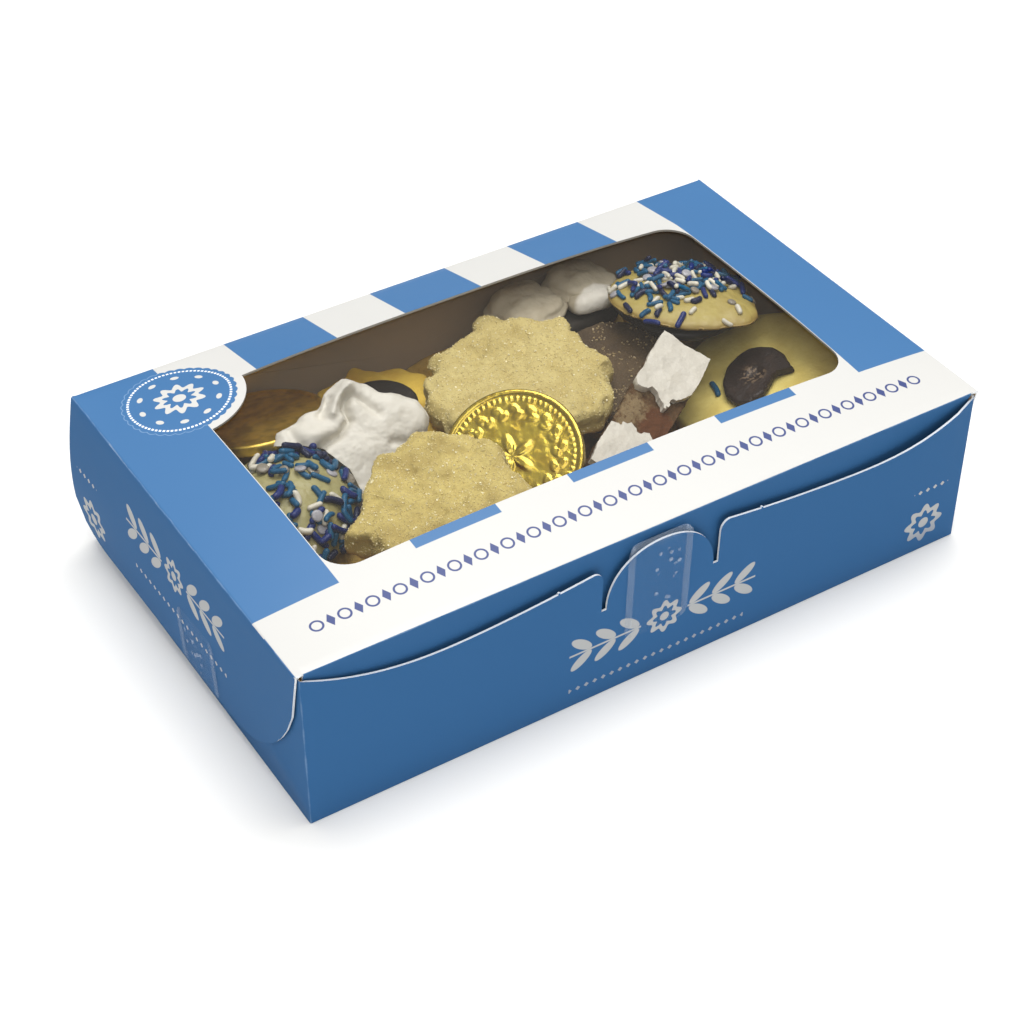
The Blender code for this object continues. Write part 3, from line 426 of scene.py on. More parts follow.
def foil(name, colour, crinkle, roughness):
    made = Surface(name, colour, roughness, metallic=1.0, coat_weight=0.4, coat_roughness=0.12)
    made.paint(made.cloud(5.0, 2.0).ramp(0.42, 0.62) * 0.55, (164, 134, 44))
    made.bump(made.cloud(2.4, 1.0), 2.0 * crinkle)
    made.bump(made.cloud(0.9, 1.0), 0.5 * crinkle)
    return made.material


def bar_crumb():
    """Torn middle of the iced bar: brown crumb with pale clumps and a redder patch."""
    made = Surface("bar_crumb", (80, 56, 30), 0.8, specular_ior_level=0.2)
    x, y, _ = made.axes()
    made.paint(made.cloud(2.6, 3.0).ramp(0.44, 0.6) * 0.6, (106, 80, 50))
    red = ellipse(x, y, 29.5, 11.0, 7.0, 4.6) + made.cloud(2.0) * 3.0 - 1.5
    made.paint(red.shape(1.0) * 0.9, (90, 52, 26))
    clumps = ellipse(x, y, 28.5, 3.4, 6.5, 3.4) + made.cloud(1.6, 3.0) * 9.0 - 4.2
    made.paint(clumps.shape(2.0) * 0.7, (140, 121, 88))
    made.paint(made.cloud(0.8, 2.0).ramp(0.58, 0.66) * 0.6, (76, 52, 34))
    made.bump(made.cloud(0.7, 3.0, 0.7), 0.35)
    return made.material


def bar_icing():
    made = Surface("bar_icing", (204, 198, 184), 0.5)
    made.paint(made.cloud(6.0).ramp(0.5, 0.8) * 0.3, (195, 185, 165))
    made.bump(made.cells(5.0), 0.5)
    made.bump(made.cloud(1.4, 4.0, 0.65), 0.28)
    return made.material


def broken_chocolate():
    """Chocolate of the broken disc, with crumbs in its middle."""
    made = Surface("button_disc_set", (42, 31, 25), 0.45, specular_ior_level=0.3)
    x, y, _ = made.axes()
    made.paint(made.cloud(3.0, 3.0).ramp(0.5, 0.7) * 0.4, (66, 50, 40))
    middle = (radius_of(x + 0.6, y - 0.4) - 3.6).shape(1.6)
    made.paint(middle * made.cloud(1.3, 3.0).ramp(0.5, 0.56) * 0.85, (124, 104, 82))
    made.bump(made.cloud(0.9, 3.0), 0.2)
    return made.material


def meringue_in_painted_shade():
    """Meringue at the back of the box in painted shade: a darker, brownish copy of the white
    meringue, mottled darker still, with a painted highlight as one pale band along a lip.
    """
    made = Surface("meringue_back", (192, 181, 156), 0.65)
    x, y, _ = made.axes()
    made.paint(made.cloud(5.0, 3.0).ramp(0.42, 0.7) * 0.6, (166, 152, 126))
    # Painted highlight: the pale band where light falls on the lip of one mound.
    painted_highlight = ellipse(x, y, 18.7, -8.0, 8.0, 3.4, 8.0) + made.cloud(2.0)
    made.paint(painted_highlight.shape(0.8), (228, 222, 208))
    made.bump(made.cloud(0.8, 3.0), 0.15)
    return made.material


# Meshes
def link_object(name, data):
    made = bpy.data.objects.new(name, data)
    bpy.context.scene.collection.objects.link(made)
    return made


def in_metres(matrix):
    """A millimetre matrix for an object whose mesh is in metres."""
    scaled = matrix.copy()
    scaled.translation = matrix.translation * MM
    return scaled


def axes_matrix(x, y, z, origin):
    made = Matrix((x, y, z)).transposed().to_4x4()
    made.translation = origin
    return made


def square_to(vector, axis):
    """Unit vector along the part of a vector that is square to an axis."""
    return (vector - axis * vector.dot(axis)).normalized()


def smooth(mesh, sharp=None):
    """Shade a mesh smooth, but for edges sharper than an angle in degrees."""
    mesh.shade_smooth()
    if sharp:
        mesh.set_sharp_from_angle(angle=math.radians(sharp))


def make_object(name, bm, materials, matrix=None, sharp=None):
    """Scale a millimetre bmesh to metres and link it as an object, placed by a matrix."""
    bmesh.ops.scale(bm, vec=(MM, MM, MM), verts=bm.verts)
    mesh = bpy.data.meshes.new(name)
    bm.to_mesh(mesh)
    bm.free()
    smooth(mesh, sharp)
    for finish in materials if isinstance(materials, list) else [materials]:
        mesh.materials.append(finish)
    made = link_object(name, mesh)
    if matrix is not None:
        made.matrix_world = in_metres(matrix)
    return made


def keep(made, slot, *nodes):
    """Tie a piece to the model: its body and the nodes it stands for, which it hides; slot, the
    finish it takes, is not used.
    """
    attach(made, "root")
    if nodes:
        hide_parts(*nodes)


def bake(made):
    """Replace an object's mesh by the result of its modifiers."""
    bpy.context.view_layer.update()
    graph = bpy.context.evaluated_depsgraph_get()
    result = bpy.data.meshes.new_from_object(made.evaluated_get(graph))
    made.modifiers.clear()
    made.data = result


def coloured(faces, material):
    for face in faces:
        face.material_index = material


def grid(bm, rows, material=PRINTED):
    """Quads through a list of rows of points."""
    made = [[bm.verts.new(point) for point in row] for row in rows]
    for lower, upper in zip(made, made[1:]):
        corners = zip(lower, lower[1:], upper[1:], upper)
        coloured([bm.faces.new(four) for four in corners], material)


def band(bm, lower, upper):
    """Quads between two closed rings of vertices."""
    corners = zip(lower, lower[1:] + lower[:1], upper[1:] + upper[:1], upper)
    return [bm.faces.new(four) for four in corners]


def cap(bm, ring, tip, flip=False):
    """Triangles from a closed ring of vertices to one vertex."""
    return [bm.faces.new((b, a, tip) if flip else (a, b, tip))
            for a, b in zip(ring, ring[1:] + ring[:1])]


def fan(bm, loop, centre, material):
    """Triangles from a closed loop of points to a centre point."""
    ring = [bm.verts.new(point) for point in loop]
    coloured(cap(bm, ring, bm.verts.new(centre)), material)


def spread(low, high, count):
    """Evenly spaced values, both ends included."""
    return [low + (high - low) * i / (count - 1) for i in range(count)]


def quarter(start, steps):
    """Angles of a quarter turn that starts at an angle in degrees."""
    return [math.radians(start + 90.0 * i / steps) for i in range(steps + 1)]


def around(x, y, radius, angles):
    """Points on a circle about a centre."""
    return [(x + radius * math.cos(angle), y + radius * math.sin(angle)) for angle in angles]


def filled_in(outline, longest):
    """Outline with its long sides divided into shorter steps."""
    points = []
    for (x0, y0), (x1, y1) in zip(outline, outline[1:] + outline[:1]):
        steps = max(math.ceil(math.hypot(x1 - x0, y1 - y0) / longest), 1)
        points += [(x0 + (x1 - x0) * i / steps, y0 + (y1 - y0) * i / steps)
                   for i in range(steps)]
    return points


def inside(outline, x, y):
    """True where the point lies inside the closed outline."""
    within = False
    for (x0, y0), (x1, y1) in zip(outline, outline[1:] + outline[:1]):
        if (y0 > y) != (y1 > y) and x < x0 + (x1 - x0) * (y - y0) / (y1 - y0):
            within = not within
    return within


def clear_of(outline, x, y, distance):
    """True where the point keeps a distance from the outline's points."""
    return min(math.hypot(x - a, y - b) for a, b in outline) > distance


def triangulated(loops, inner, kind):
    """Points and faces of a triangulation that keeps closed loops and takes in inner points."""
    points, edges = [], []
    for loop in loops:
        first, count = len(points), len(loop)
        edges += [(first + i, first + (i + 1) % count) for i in range(count)]
        points += loop
    made = delaunay_2d_cdt([Vector(p) for p in points + inner], edges, [], kind, FINE)
    return made[0], made[2]


# Carton
def lid_rise(x, y):
    """How far the lid is domed above its folded edges; it runs straight down behind the bend."""
    if y > LID_CREST_Y:
        domed = min(y, LID_BEND_Y)
        along = 1.0 - ((domed - LID_CREST_Y) / (HALF_WIDTH - LID_CREST_Y)) ** 3.84
        along *= (HALF_WIDTH - max(y, LID_BEND_Y)) / (HALF_WIDTH - LID_BEND_Y)
    else:
        along = 1.0 - ((LID_CREST_Y - y) / (HALF_WIDTH + LID_CREST_Y)) ** 1.96
    across = 1.0 - (abs(x) / LID_HALF_LENGTH) ** 2.79
    return LID_RISE * max(along, 0.0) * max(across, 0.0)


def front_bow(x, z):
    """How far the front wall leans out of its plane."""
    ends = max(1.0 - (x / HALF_LENGTH) ** 2, 0.0)
    right = math.exp(-((x - 84.0) / 20.0) ** 2) * min((HALF_LENGTH - x) / 6.0, 1.0)
    return (z / HEIGHT) ** 1.3 * (1.1 * ends + 1.5 * right)


def flap_bulge(y, z):
    """How far a side flap stands off its fold line."""
    drop = (HEIGHT - z) / HEIGHT
    back = (y + HALF_WIDTH) / (2.0 * HALF_WIDTH)
    return FLAP_BULGE * (0.12 + 0.88 * back ** 1.3) * math.sin(math.pi * min(drop, 1.0) * 0.93)


def front_edge_z(x):
    """Height of the front wall's cut edge outside the slots, with a nick on each side."""
    reach = abs(x)
    if reach > FRONT_DIP_X:
        share = (reach - FRONT_DIP_X) / (HALF_LENGTH - FRONT_DIP_X)
        return FRONT_DIP_Z + (FRONT_CORNER_Z - FRONT_DIP_Z) * share ** 2.2
    share = (FRONT_DIP_X - reach) / (FRONT_DIP_X - FRONT_SHOULDER_X)
    edge = FRONT_DIP_Z + (FRONT_SHOULDER_Z - FRONT_DIP_Z) * min(share, 1.0) ** 1.6
    if reach < FRONT_SHOULDER_X:
        corner = (FRONT_SHOULDER_X - reach) / (FRONT_SHOULDER_X - SLOT_OUTER_X)
        edge -= SHOULDER_DROP * (1.0 - math.sqrt(max(1.0 - corner * corner, 0.0)))
    return edge + (NICK if 0.0 < reach - NICK_X < 0.6 else 0.0)


def tab_edge_z(x):
    """Height of the tab's rounded edge."""
    share = min(abs(x) / TAB_HALF, 1.0)
    return SLOT_Z + (TAB_TOP_Z - SLOT_Z) * (1.0 - share ** TAB_POWER) ** (1.0 / TAB_POWER)


def flap_edge_z(y):
    """Height of a side flap's lower edge, rounded at both ends."""
    front = (y + HALF_WIDTH) / FLAP_FRONT_RUN
    if front < 1.0:
        share = 1.0 - max(front, 0.0)
        fall = max(1.0 - share ** FLAP_FRONT_POWER, 0.0) ** (1.0 / FLAP_FRONT_POWER)
        return FLAP_BOTTOM_Z + (HEIGHT - FLAP_BOTTOM_Z) * (1.0 - fall)
    back = (HALF_WIDTH - y) / FLAP_BACK_RUN
    if back < 1.0:
        fall = math.sqrt(max(1.0 - (1.0 - back) ** 2, 0.0))
        return FLAP_BOTTOM_Z + FLAP_BACK_DROP * (1.0 - fall)
    return FLAP_BOTTOM_Z


def window_outline(steps=14):
    """Window's outline, anticlockwise: a rounded rectangle that the lid's lobe cuts into."""
    radius = WINDOW_RADIUS
    left, right = -WINDOW_HALF_X, WINDOW_HALF_X
    front, back = WINDOW_FRONT_Y, WINDOW_BACK_Y
    first = math.asin((back - LOBE_Y) / LOBE_RADIUS)
    last = -math.acos((left - LOBE_X) / LOBE_RADIUS)
    points = around(right - radius, front + radius, radius, quarter(-90.0, steps))
    points += around(right - radius, back - radius, radius, quarter(0.0, steps))
    points += around(LOBE_X, LOBE_Y, LOBE_RADIUS, spread(first, last, 2 * steps + 1))
    return points + around(left + radius, front + radius, radius, quarter(180.0, steps))


def lid_sheet(bm, xs, ys):
    """Domed lid with the window left open."""
    window = filled_in(window_outline(), 4.0)
    border = [(x, ys[0]) for x in xs[:-1]] + [(xs[-1], y) for y in ys[:-1]]
    border += [(x, ys[-1]) for x in reversed(xs[1:])] + [(xs[0], y) for y in reversed(ys[1:])]
    inner = [(x, y) for x in xs[1:-1] for y in ys[1:-1]
             if clear_of(window, x, y, 2.0) and not inside(window, x, y)]
    points, faces = triangulated([border, window], inner, 0)
    verts = [bm.verts.new((x, y, HEIGHT + lid_rise(x, y))) for x, y in points]
    for face in faces:
        middle = sum((points[i] for i in face), Vector((0.0, 0.0))) / len(face)
        if not inside(window, middle.x, middle.y):
            bm.faces.new([verts[i] for i in face]).material_index = PRINTED
    loose = [vert for vert in verts if not vert.link_faces]
    bmesh.ops.delete(bm, geom=loose, context="VERTS")


def front_wall(bm):
    """Front wall up to its curved edge; returns the heights down its ends and its columns."""
    outer = [SLOT_OUTER_X, 18.0, 18.2, 18.6, 19.2, 19.8] + spread(FRONT_SHOULDER_X, 29.5, 8)
    outer += [NICK_X + step for step in (-0.3, -0.01, 0.05, 0.55, 0.61)]
    outer += spread(32.0, HALF_LENGTH, 36)
    inner = [-x for x in reversed(outer)]
    tab = [TAB_HALF * math.sin(math.pi * (i / 40.0 - 0.5)) for i in range(41)]
    levels = spread(0.0, 1.0, 5)

    def at(x, z):
        return (x, -HALF_WIDTH - front_bow(x, z), z)

    columns = inner + tab + outer
    grid(bm, [[at(x, SLOT_Z * level) for x in columns] for level in levels], BLUE_BOARD)
    for xs, edge in ((inner, front_edge_z), (tab, tab_edge_z), (outer, front_edge_z)):
        grid(bm, [[at(x, SLOT_Z + (edge(x) - SLOT_Z) * share) for x in xs] for share in levels],
             BLUE_BOARD)
    heights = [SLOT_Z * level for level in levels[:-1]]
    heights += [SLOT_Z + (FRONT_CORNER_Z - SLOT_Z) * share for share in levels]
    return heights, columns


def carton(finishes):
    """The folded carton, one sheet of board: tray, lid, front flap and side flaps."""
    bm = bmesh.new()
    heights, columns = front_wall(bm)
    for side in (-1.0, 1.0):
        x = side * HALF_LENGTH
        loop = [(x, -HALF_WIDTH, z) for z in heights]
        loop += [(x, -HALF_WIDTH + BOARD + 2.0, END_WALL_HEIGHT)]
        loop += [(x, HALF_WIDTH, END_WALL_HEIGHT), (x, HALF_WIDTH, 0.0)]
        fan(bm, loop, (x, 0.0, 0.5 * HEIGHT), BLUE_BOARD)
    base = [(x, -HALF_WIDTH, 0.0) for x in columns]
    base += [(HALF_LENGTH, HALF_WIDTH, 0.0), (-HALF_LENGTH, HALF_WIDTH, 0.0)]
    fan(bm, base, (0.0, 0.0, 0.0), BLUE_BOARD)

    flap_xs = spread(-FRONT_FLAP_HALF, FRONT_FLAP_HALF, 51)
    back_xs = [-HALF_LENGTH] + flap_xs + [HALF_LENGTH]
    lid_ys = spread(-HALF_WIDTH, LID_BEND_Y, 35) + spread(LID_BEND_Y, HALF_WIDTH, 8)[1:]
    lid_sheet(bm, [-LID_HALF_LENGTH] + back_xs + [LID_HALF_LENGTH], lid_ys)

    back = [(x, HALF_WIDTH, HEIGHT) for x in back_xs]
    back += [(HALF_LENGTH, HALF_WIDTH, END_WALL_HEIGHT), (HALF_LENGTH, HALF_WIDTH, 0.0)]
    back += [(-HALF_LENGTH, HALF_WIDTH, 0.0), (-HALF_LENGTH, HALF_WIDTH, END_WALL_HEIGHT)]
    fan(bm, back, (0.0, HALF_WIDTH, 0.5 * HEIGHT), BLUE_BOARD)

    rows = [[(x, -HALF_WIDTH, HEIGHT) for x in flap_xs]]
    for y, z, inset in FRONT_FLAP_ROWS:
        shrink = (FRONT_FLAP_HALF - inset) / FRONT_FLAP_HALF
        rows.append([(x * shrink, y, z) for x in flap_xs])
    grid(bm, rows, BLUE_BOARD)

    for side in (-1.0, 1.0):
        rows = []
        for share in spread(0.0, 1.0, 11):
            drops = [(y, HEIGHT + (flap_edge_z(y) - HEIGHT) * share) for y in lid_ys]
            rows.append([(side * (LID_HALF_LENGTH + flap_bulge(y, z)), y, z) for y, z in drops])
        grid(bm, rows, BLUE_BOARD)

    bmesh.ops.remove_doubles(bm, verts=bm.verts, dist=WELD)
    bmesh.ops.dissolve_degenerate(bm, edges=bm.edges, dist=0.1 * WELD)
    bmesh.ops.recalc_face_normals(bm, faces=bm.faces)
    lowest = min(bm.faces, key=lambda face: face.calc_center_median().z)
    if lowest.normal.z > 0.0:
        bmesh.ops.reverse_faces(bm, faces=bm.faces)
    printed, blue, inner, cut, rim = finishes
    made = make_object("carton_printed", bm, [printed, blue, inner, inner, cut, cut, rim])
    fold = made.modifiers.new("fold", "BEVEL")
    fold.width = FOLD_RADIUS * MM
    fold.segments = 3
    fold.limit_method = "ANGLE"
    fold.angle_limit = math.radians(40.0)
    shell = made.modifiers.new("board", "SOLIDIFY")
    shell.thickness = BOARD * MM
    shell.offset = -1.0
    shell.use_even_offset = True
    shell.use_quality_normals = True
    shell.material_offset = INNER
    shell.material_offset_rim = CUT
    bake(made)
    # Cut edges round the window take the darker copy of the cut board: painted shade.
    for face in made.data.polygons:
        x, y, z = face.center / MM
        within = abs(x) < WINDOW_HALF_X + 1.0 and WINDOW_FRONT_Y - 1.0 < y < WINDOW_BACK_Y + 1.0
        if CUT <= face.material_index < SHADED_CUT and z > HEIGHT and within:
            face.material_index = SHADED_CUT
    smooth(made.data, 35.0)
    keep(made, "board", "carton")


def sheet_on(name, outline, place, finish):
    """Thin clear sheet with a rounded outline, laid on a curved wall by place(u, v, stand)."""
    outline = filled_in(outline, 2.0)
    us, vs = zip(*outline)
    inner = [(u, v) for u in spread(min(us), max(us), 12)[1:-1]
             for v in spread(min(vs), max(vs), 16)[1:-1]
             if inside(outline, u, v) and clear_of(outline, u, v, 0.8)]
    points, faces = triangulated([outline], inner, 1)
    bm = bmesh.new()
    front, back = ([bm.verts.new(place(u, v, stand)) for u, v in points]
                   for stand in (GAP + SEAL, GAP))
    for face in faces:
        bm.faces.new([front[i] for i in face])
        bm.faces.new([back[i] for i in reversed(face)])
    band(bm, back[:len(outline)], front[:len(outline)])
    bmesh.ops.recalc_face_normals(bm, faces=bm.faces)
    return make_object(name, bm, finish, sharp=40.0)


def rounded(u0, v0, u1, v1, radius, steps=6):
    """Rounded rectangle's outline, anticlockwise."""
    points = []
    for u, v, start in ((u1 - radius, v0 + radius, -90.0), (u1 - radius, v1 - radius, 0.0),
                        (u0 + radius, v1 - radius, 90.0), (u0 + radius, v0 + radius, 180.0)):
        points += around(u, v, radius, quarter(start, steps))
    return points


def seals():
    def on_front(u, v, stand):
        lean = 0.7 * smooth_step((v - TAB_TOP_Z) / 1.6)
        return (u, -HALF_WIDTH - front_bow(u, v) - stand + lean, v)

    def on_side(u, v, stand):
        return (-LID_HALF_LENGTH - flap_bulge(u, v) - stand, u, v)

    for node, axis, middle, low, high, top, place in (
        ("front_seal", 0, SEAL_X, SEAL_LOW_Z, SEAL_TOP_Z, SEAL_TOP_Z, on_front),
        ("side_seal", 1, SIDE_SEAL_Y, FLAP_BOTTOM_Z + 0.4, SIDE_SEAL_HIGH_Z,
         SIDE_SEAL_HIGH_Z + 2.0, on_side),
    ):
        finish = seal_film(node + "_clear", axis, middle, top)
        outline = rounded(middle - SEAL_HALF, low, middle + SEAL_HALF, high, 3.0)
        keep(sheet_on(node + "_clear", outline, place, finish), "seal", node)


# Layers of plain cookies
LAYER_LOW = 0.9
LAYER_HIGH = 13.7
LAYER_THICK = 12.5

# Outlines of round food, as pairs of an angle in degrees and a radius
SUGAR_OUTLINE = [
    (0, 22.5), (19, 24.5), (33, 28.4), (50, 25.5), (65, 26.4), (80, 28.0), (93, 23.6),
    (112, 24.2), (126, 26.2), (141, 24.0), (155, 26.2), (175, 26.6), (184, 25.0), (194, 26.6),
    (206, 24.0), (222, 24.6), (240, 23.5), (256, 25.5), (270, 24.2), (283, 25.6), (293, 27.2),
    (305, 26.6), (319, 23.6), (332, 23.6), (341, 25.9),
]
SUGAR_FRONT_OUTLINE = [
    (0, 19.4), (18, 22.3), (37, 22.4), (54, 22.0), (68, 24.9), (78, 26.6), (86, 24.0),
    (96, 21.8), (104, 24.4), (112, 24.4), (120, 23.0), (130, 21.6), (141, 20.8), (150, 21.8),
    (157, 23.6), (163, 25.8), (168, 27.0), (173, 25.4), (179, 22.0), (188, 21.4), (205, 22.0),
    (222, 24.5), (240, 22.6), (257, 24.5), (273, 22.6), (290, 24.5), (308, 22.4), (325, 23.0),
    (342, 20.0),
]
FLOWER_OUTLINE = [
    (0, 19.6), (15, 19.9), (24, 20.8), (34, 19.7), (45, 20.6), (62, 18.2), (72, 19.6),
    (82, 22.2), (95, 19.0), (110, 19.0), (124, 20.2), (137, 19.9), (150, 19.6), (165, 18.0),
    (185, 20.4), (205, 18.4), (230, 20.6), (255, 18.4), (280, 20.6), (310, 18.4), (335, 20.4),
]
MERINGUE_OUTLINE = [
    (0, 19.6), (12, 19.0), (26, 17.0), (48, 14.4), (67, 15.6), (84, 17.4), (100, 16.4),
    (122, 14.4), (142, 18.0), (157, 23.4), (167, 24.6), (178, 22.5), (192, 18.5), (215, 16.0),
    (234, 19.0), (246, 21.8), (256, 19.5), (268, 15.0), (290, 13.0), (318, 14.0), (342, 17.6),
]
DISC_OUTLINE = [
    (0, 9.9), (26, 10.5), (58, 11.1), (97, 9.9), (130, 9.2), (158, 9.6), (182, 10.5),
    (204, 11.3), (222, 10.9), (234, 9.4), (246, 8.5), (258, 7.2), (270, 6.2), (285, 5.7),
    (300, 5.4), (312, 6.4), (318, 10.9), (326, 10.1), (340, 9.7),
]
ICED_FRONT_OUTLINE = [
    (0, 18.6), (20, 19.4), (40, 21.6), (60, 22.0), (80, 22.3), (100, 22.5), (180, 22.3),
    (200, 21.7), (220, 20.6), (240, 19.1), (260, 17.4), (280, 16.1), (300, 15.7), (320, 15.8),
    (340, 17.2),
]
ICED_BACK_OUTLINE = [
    (0, 18.3), (20, 19.3), (45, 20.6), (80, 21.5), (120, 21.8), (160, 21.6), (180, 21.2),
    (200, 20.4), (220, 21.4), (245, 21.9), (265, 23.0), (280, 25.0), (292, 24.0), (305, 21.4),
    (320, 18.9), (340, 17.9),
]
CHOCOLATE_OUTLINE = [
    (0, 18.2), (20, 19.2), (45, 20.6), (80, 21.6), (120, 21.5), (140, 20.8), (160, 19.4),
    (180, 18.2), (200, 18.9), (220, 19.6), (240, 19.2), (260, 17.4), (280, 16.3), (300, 16.8),
    (320, 17.8), (340, 17.8),
]

# Iced bar, as points of its outlines, and the stretch along it where the icing is broken away
BAR = [
    (0.4, 0.5), (14.0, 0.0), (30.0, 0.3), (46.0, 0.0), (52.0, 0.8), (51.4, 8.0), (52.2, 14.6),
    (40.0, 15.4), (25.0, 14.9), (10.0, 15.3), (0.0, 14.8), (0.5, 7.5),
]
BAR_UPPER = [
    (0.0, 0.0), (10.0, -0.2), (20.2, 0.0), (21.8, 1.8), (19.8, 5.0), (21.8, 8.1), (24.2, 10.6),
    (20.4, 11.4), (18.2, 13.2), (14.6, 15.2), (6.0, 15.3), (-0.2, 14.9), (0.3, 7.0),
]
BAR_LOWER = [
    (37.6, 0.0), (45.0, -0.2), (52.2, 0.4), (51.8, 8.0), (52.4, 15.0), (40.6, 15.5),
    (36.2, 13.0), (34.4, 10.4), (35.3, 7.4), (34.2, 4.4), (36.6, 2.4),
]
BREAK_START = 19.5
BREAK_END = 37.0

# Side view of a chocolate disc
DISC_PROFILE = [(0.0, 0.0), (9.5, 0.0), (10.2, 0.5), (10.2, 1.7), (9.5, 2.3), (0.0, 2.1)]

# Lobes as centre, reach and height, folds as lines with width and height, on the meringue's plane
MERINGUE_LOBES = [
    (-12.0, 5.4, 6.0, 3.0, 1.9), (8.8, 3.5, 8.0, 7.0, 1.5), (1.8, 14.6, 3.0, 3.6, 1.4),
    (-3.0, -3.6, 6.0, 5.0, 1.2), (16.0, -1.0, 5.0, 5.0, 0.7),
]
MERINGUE_FOLDS = [
    ([(-0.1, 11.8), (-1.9, 9.5), (-2.1, 5.7), (-5.7, 3.2), (-10.4, 2.2), (-15.0, 0.4)], 1.1, -2.4),
    ([(1.0, 14.6), (-2.8, 12.8), (-6.0, 9.1)], 1.5, 1.9),
    ([(-5.0, 14.0), (-8.6, 9.8)], 1.3, -1.6),
    ([(1.4, 11.6), (3.6, 8.6), (5.6, 4.7)], 1.2, -1.2),
    ([(-18.0, 9.6), (-17.4, 4.6)], 1.5, -1.3),
    ([(6.4, -4.0), (11.0, -5.4), (15.0, -4.4)], 1.2, -1.0),
]

# Coins
COIN_RADIUS = 19.0
COIN_RIM = 1.3
COIN_SUNK = 0.35
COIN_TEETH = 120.0
COIN_BEADS = 64.0
COIN_BEADS_AT = 16.2
COIN_LEAVES = 18.0

# Sprinkles: the finishes' places in the lists, the shapes' sides and how they are dropped
TEAL, ROYAL, INDIGO, WHITE = range(4)
SILVERY, DULL = range(2)
ROD_STATIONS = 12
ROD_ANGLES = [TURN * i / 8 for i in range(8)]
DISC_ANGLES = [TURN * i / 16 for i in range(16)]
DISC_SHARE = 0.14
DROP_HEIGHT = 9.0
CROWD = 3
CROWD_REACH = 2.4
MOST_TRIES = 20000

# Crystals and crumbs
CUBE = np.array([(-1, -1, -1), (1, -1, -1), (1, 1, -1), (-1, 1, -1),
                 (-1, -1, 1), (1, -1, 1), (1, 1, 1), (-1, 1, 1)], float) * 0.5
CUBE_SIDES = [(0, 3, 2, 1), (4, 5, 6, 7), (0, 1, 5, 4), (1, 2, 6, 5), (2, 3, 7, 6), (3, 0, 4, 7)]

# Step through the noise from one seed to the next, and the floor's reach from the middle
LEVEL = 17.3
FLOOR_HALF = 3000.0


# Food
def outline_radius(outline, angle):
    """Radius at an angle in degrees, eased between the outline's points."""
    angle %= 360.0
    closed = outline + [(outline[0][0] + 360.0, outline[0][1])]
    if angle < closed[0][0]:
        angle += 360.0
    for (a, low), (b, high) in zip(closed, closed[1:]):
        if a <= angle <= b:
            return low + (high - low) * smooth_step((angle - a) / (b - a))
    return closed[0][1]


def shaped(outline, size=None):
    """Factor on a ring's radius that gives the outline its shape, 1 at its widest or at a size."""
    size = size or max(radius for _, radius in outline)
    return lambda angle, z: outline_radius(outline, math.degrees(angle)) / size


def placed(centre, tilt=0.0, toward=0.0, spin=0.0):
    """Matrix that stands a piece at centre, tilted in degrees towards a compass angle."""
    turn = math.radians(toward)
    rotation = Matrix.Rotation(turn, 4, "Z") @ Matrix.Rotation(math.radians(tilt), 4, "Y")
    rotation = rotation @ Matrix.Rotation(math.radians(spin) - turn, 4, "Z")
    return Matrix.Translation(Vector(centre)) @ rotation


def on_top(centre, thickness, tilt, toward):
    """Matrix for a piece whose top centre, not its bottom, is at centre."""
    matrix = placed(centre, tilt, toward)
    matrix.translation = Vector(centre) - matrix.col[2].to_3d() * thickness
    return matrix


def moved(matrix, x, y, z):
    """Matrix moved along its own axes."""
    return matrix @ Matrix.Translation((x, y, z))


FRONT_ICED = placed((-67.7, 6.0, 28.4), 7.0, 228.0)
RESTING = moved(placed((-58.5, 42.8, 36.0), 16.0, 90.0), 0.0, 0.0, -1.6)


def dense(profile, step, curved=True):
    """Profile with closely spaced points, on a smooth curve or on straight lines."""
    points = [Vector(p) for p in profile]
    ends = [points[0]] + points + [points[-1]]
    made = []
    for before, a, b, after in zip(ends, ends[1:], ends[2:], ends[3:]):
        count = max(math.ceil((b - a).length / step), 1)
        for i in range(count):
            t = i / count
            point = a.lerp(b, t)
            if curved:
                pull_in, pull_out = (b - before) * 0.5, (after - a) * 0.5
                limit = (b - a).length
                for pull in (pull_in, pull_out):
                    if pull.length > limit:
                        pull *= limit / pull.length
                point = (a * (2 * t ** 3 - 3 * t ** 2 + 1) + pull_in * (t ** 3 - 2 * t ** 2 + t)
                         + b * (3 * t ** 2 - 2 * t ** 3) + pull_out * (t ** 3 - t ** 2))
            made.append((max(point.x, 0.0), point.y))
    made.append(tuple(points[-1]))
    return made


def turned(profile, steps, reach=None, lift=None):
    """Closed body of stacked rings from a bottom point to a top point."""
    bm = bmesh.new()

    def vert(x, y, z):
        return bm.verts.new((x, y, z + (lift(x, y, z) if lift else 0.0)))

    rings = []
    for radius, z in profile[1:-1]:
        ring = []
        for i in range(steps):
            angle = TURN * i / steps
            out = radius * (reach(angle, z) if reach else 1.0)
            ring.append(vert(out * math.cos(angle), out * math.sin(angle), z))
        rings.append(ring)
    for lower, upper in zip(rings, rings[1:]):
        band(bm, lower, upper)
    cap(bm, rings[0], vert(0.0, 0.0, profile[0][1]), flip=True)
    cap(bm, rings[-1], vert(0.0, 0.0, profile[-1][1]))
    return bm


def ripple(point, size, seed):
    """Smooth unevenness between -1 and 1 with features of a size in millimetres."""
    return noise.noise(Vector(point) / size + Vector((0.0, 0.0, LEVEL * seed)))


def swell(x, y, rate, level):
    """Smooth unevenness between -1 and 1 over a plane."""
    return noise.noise(Vector((rate * x, rate * y, level)))


def roughen(bm, layers, seed, share=None):
    """Move each vertex along its normal by layers of unevenness, given as (size, depth)."""
    bm.normal_update()
    moves = []
    for vert in bm.verts:
        move = sum(depth * ripple(vert.co, size, seed + k)
                   for k, (size, depth) in enumerate(layers))
        if share:
            move *= share(vert.co)
        moves.append(vert.normal * move)
    for vert, move in zip(bm.verts, moves):
        vert.co += move
    bm.normal_update()
    return bm


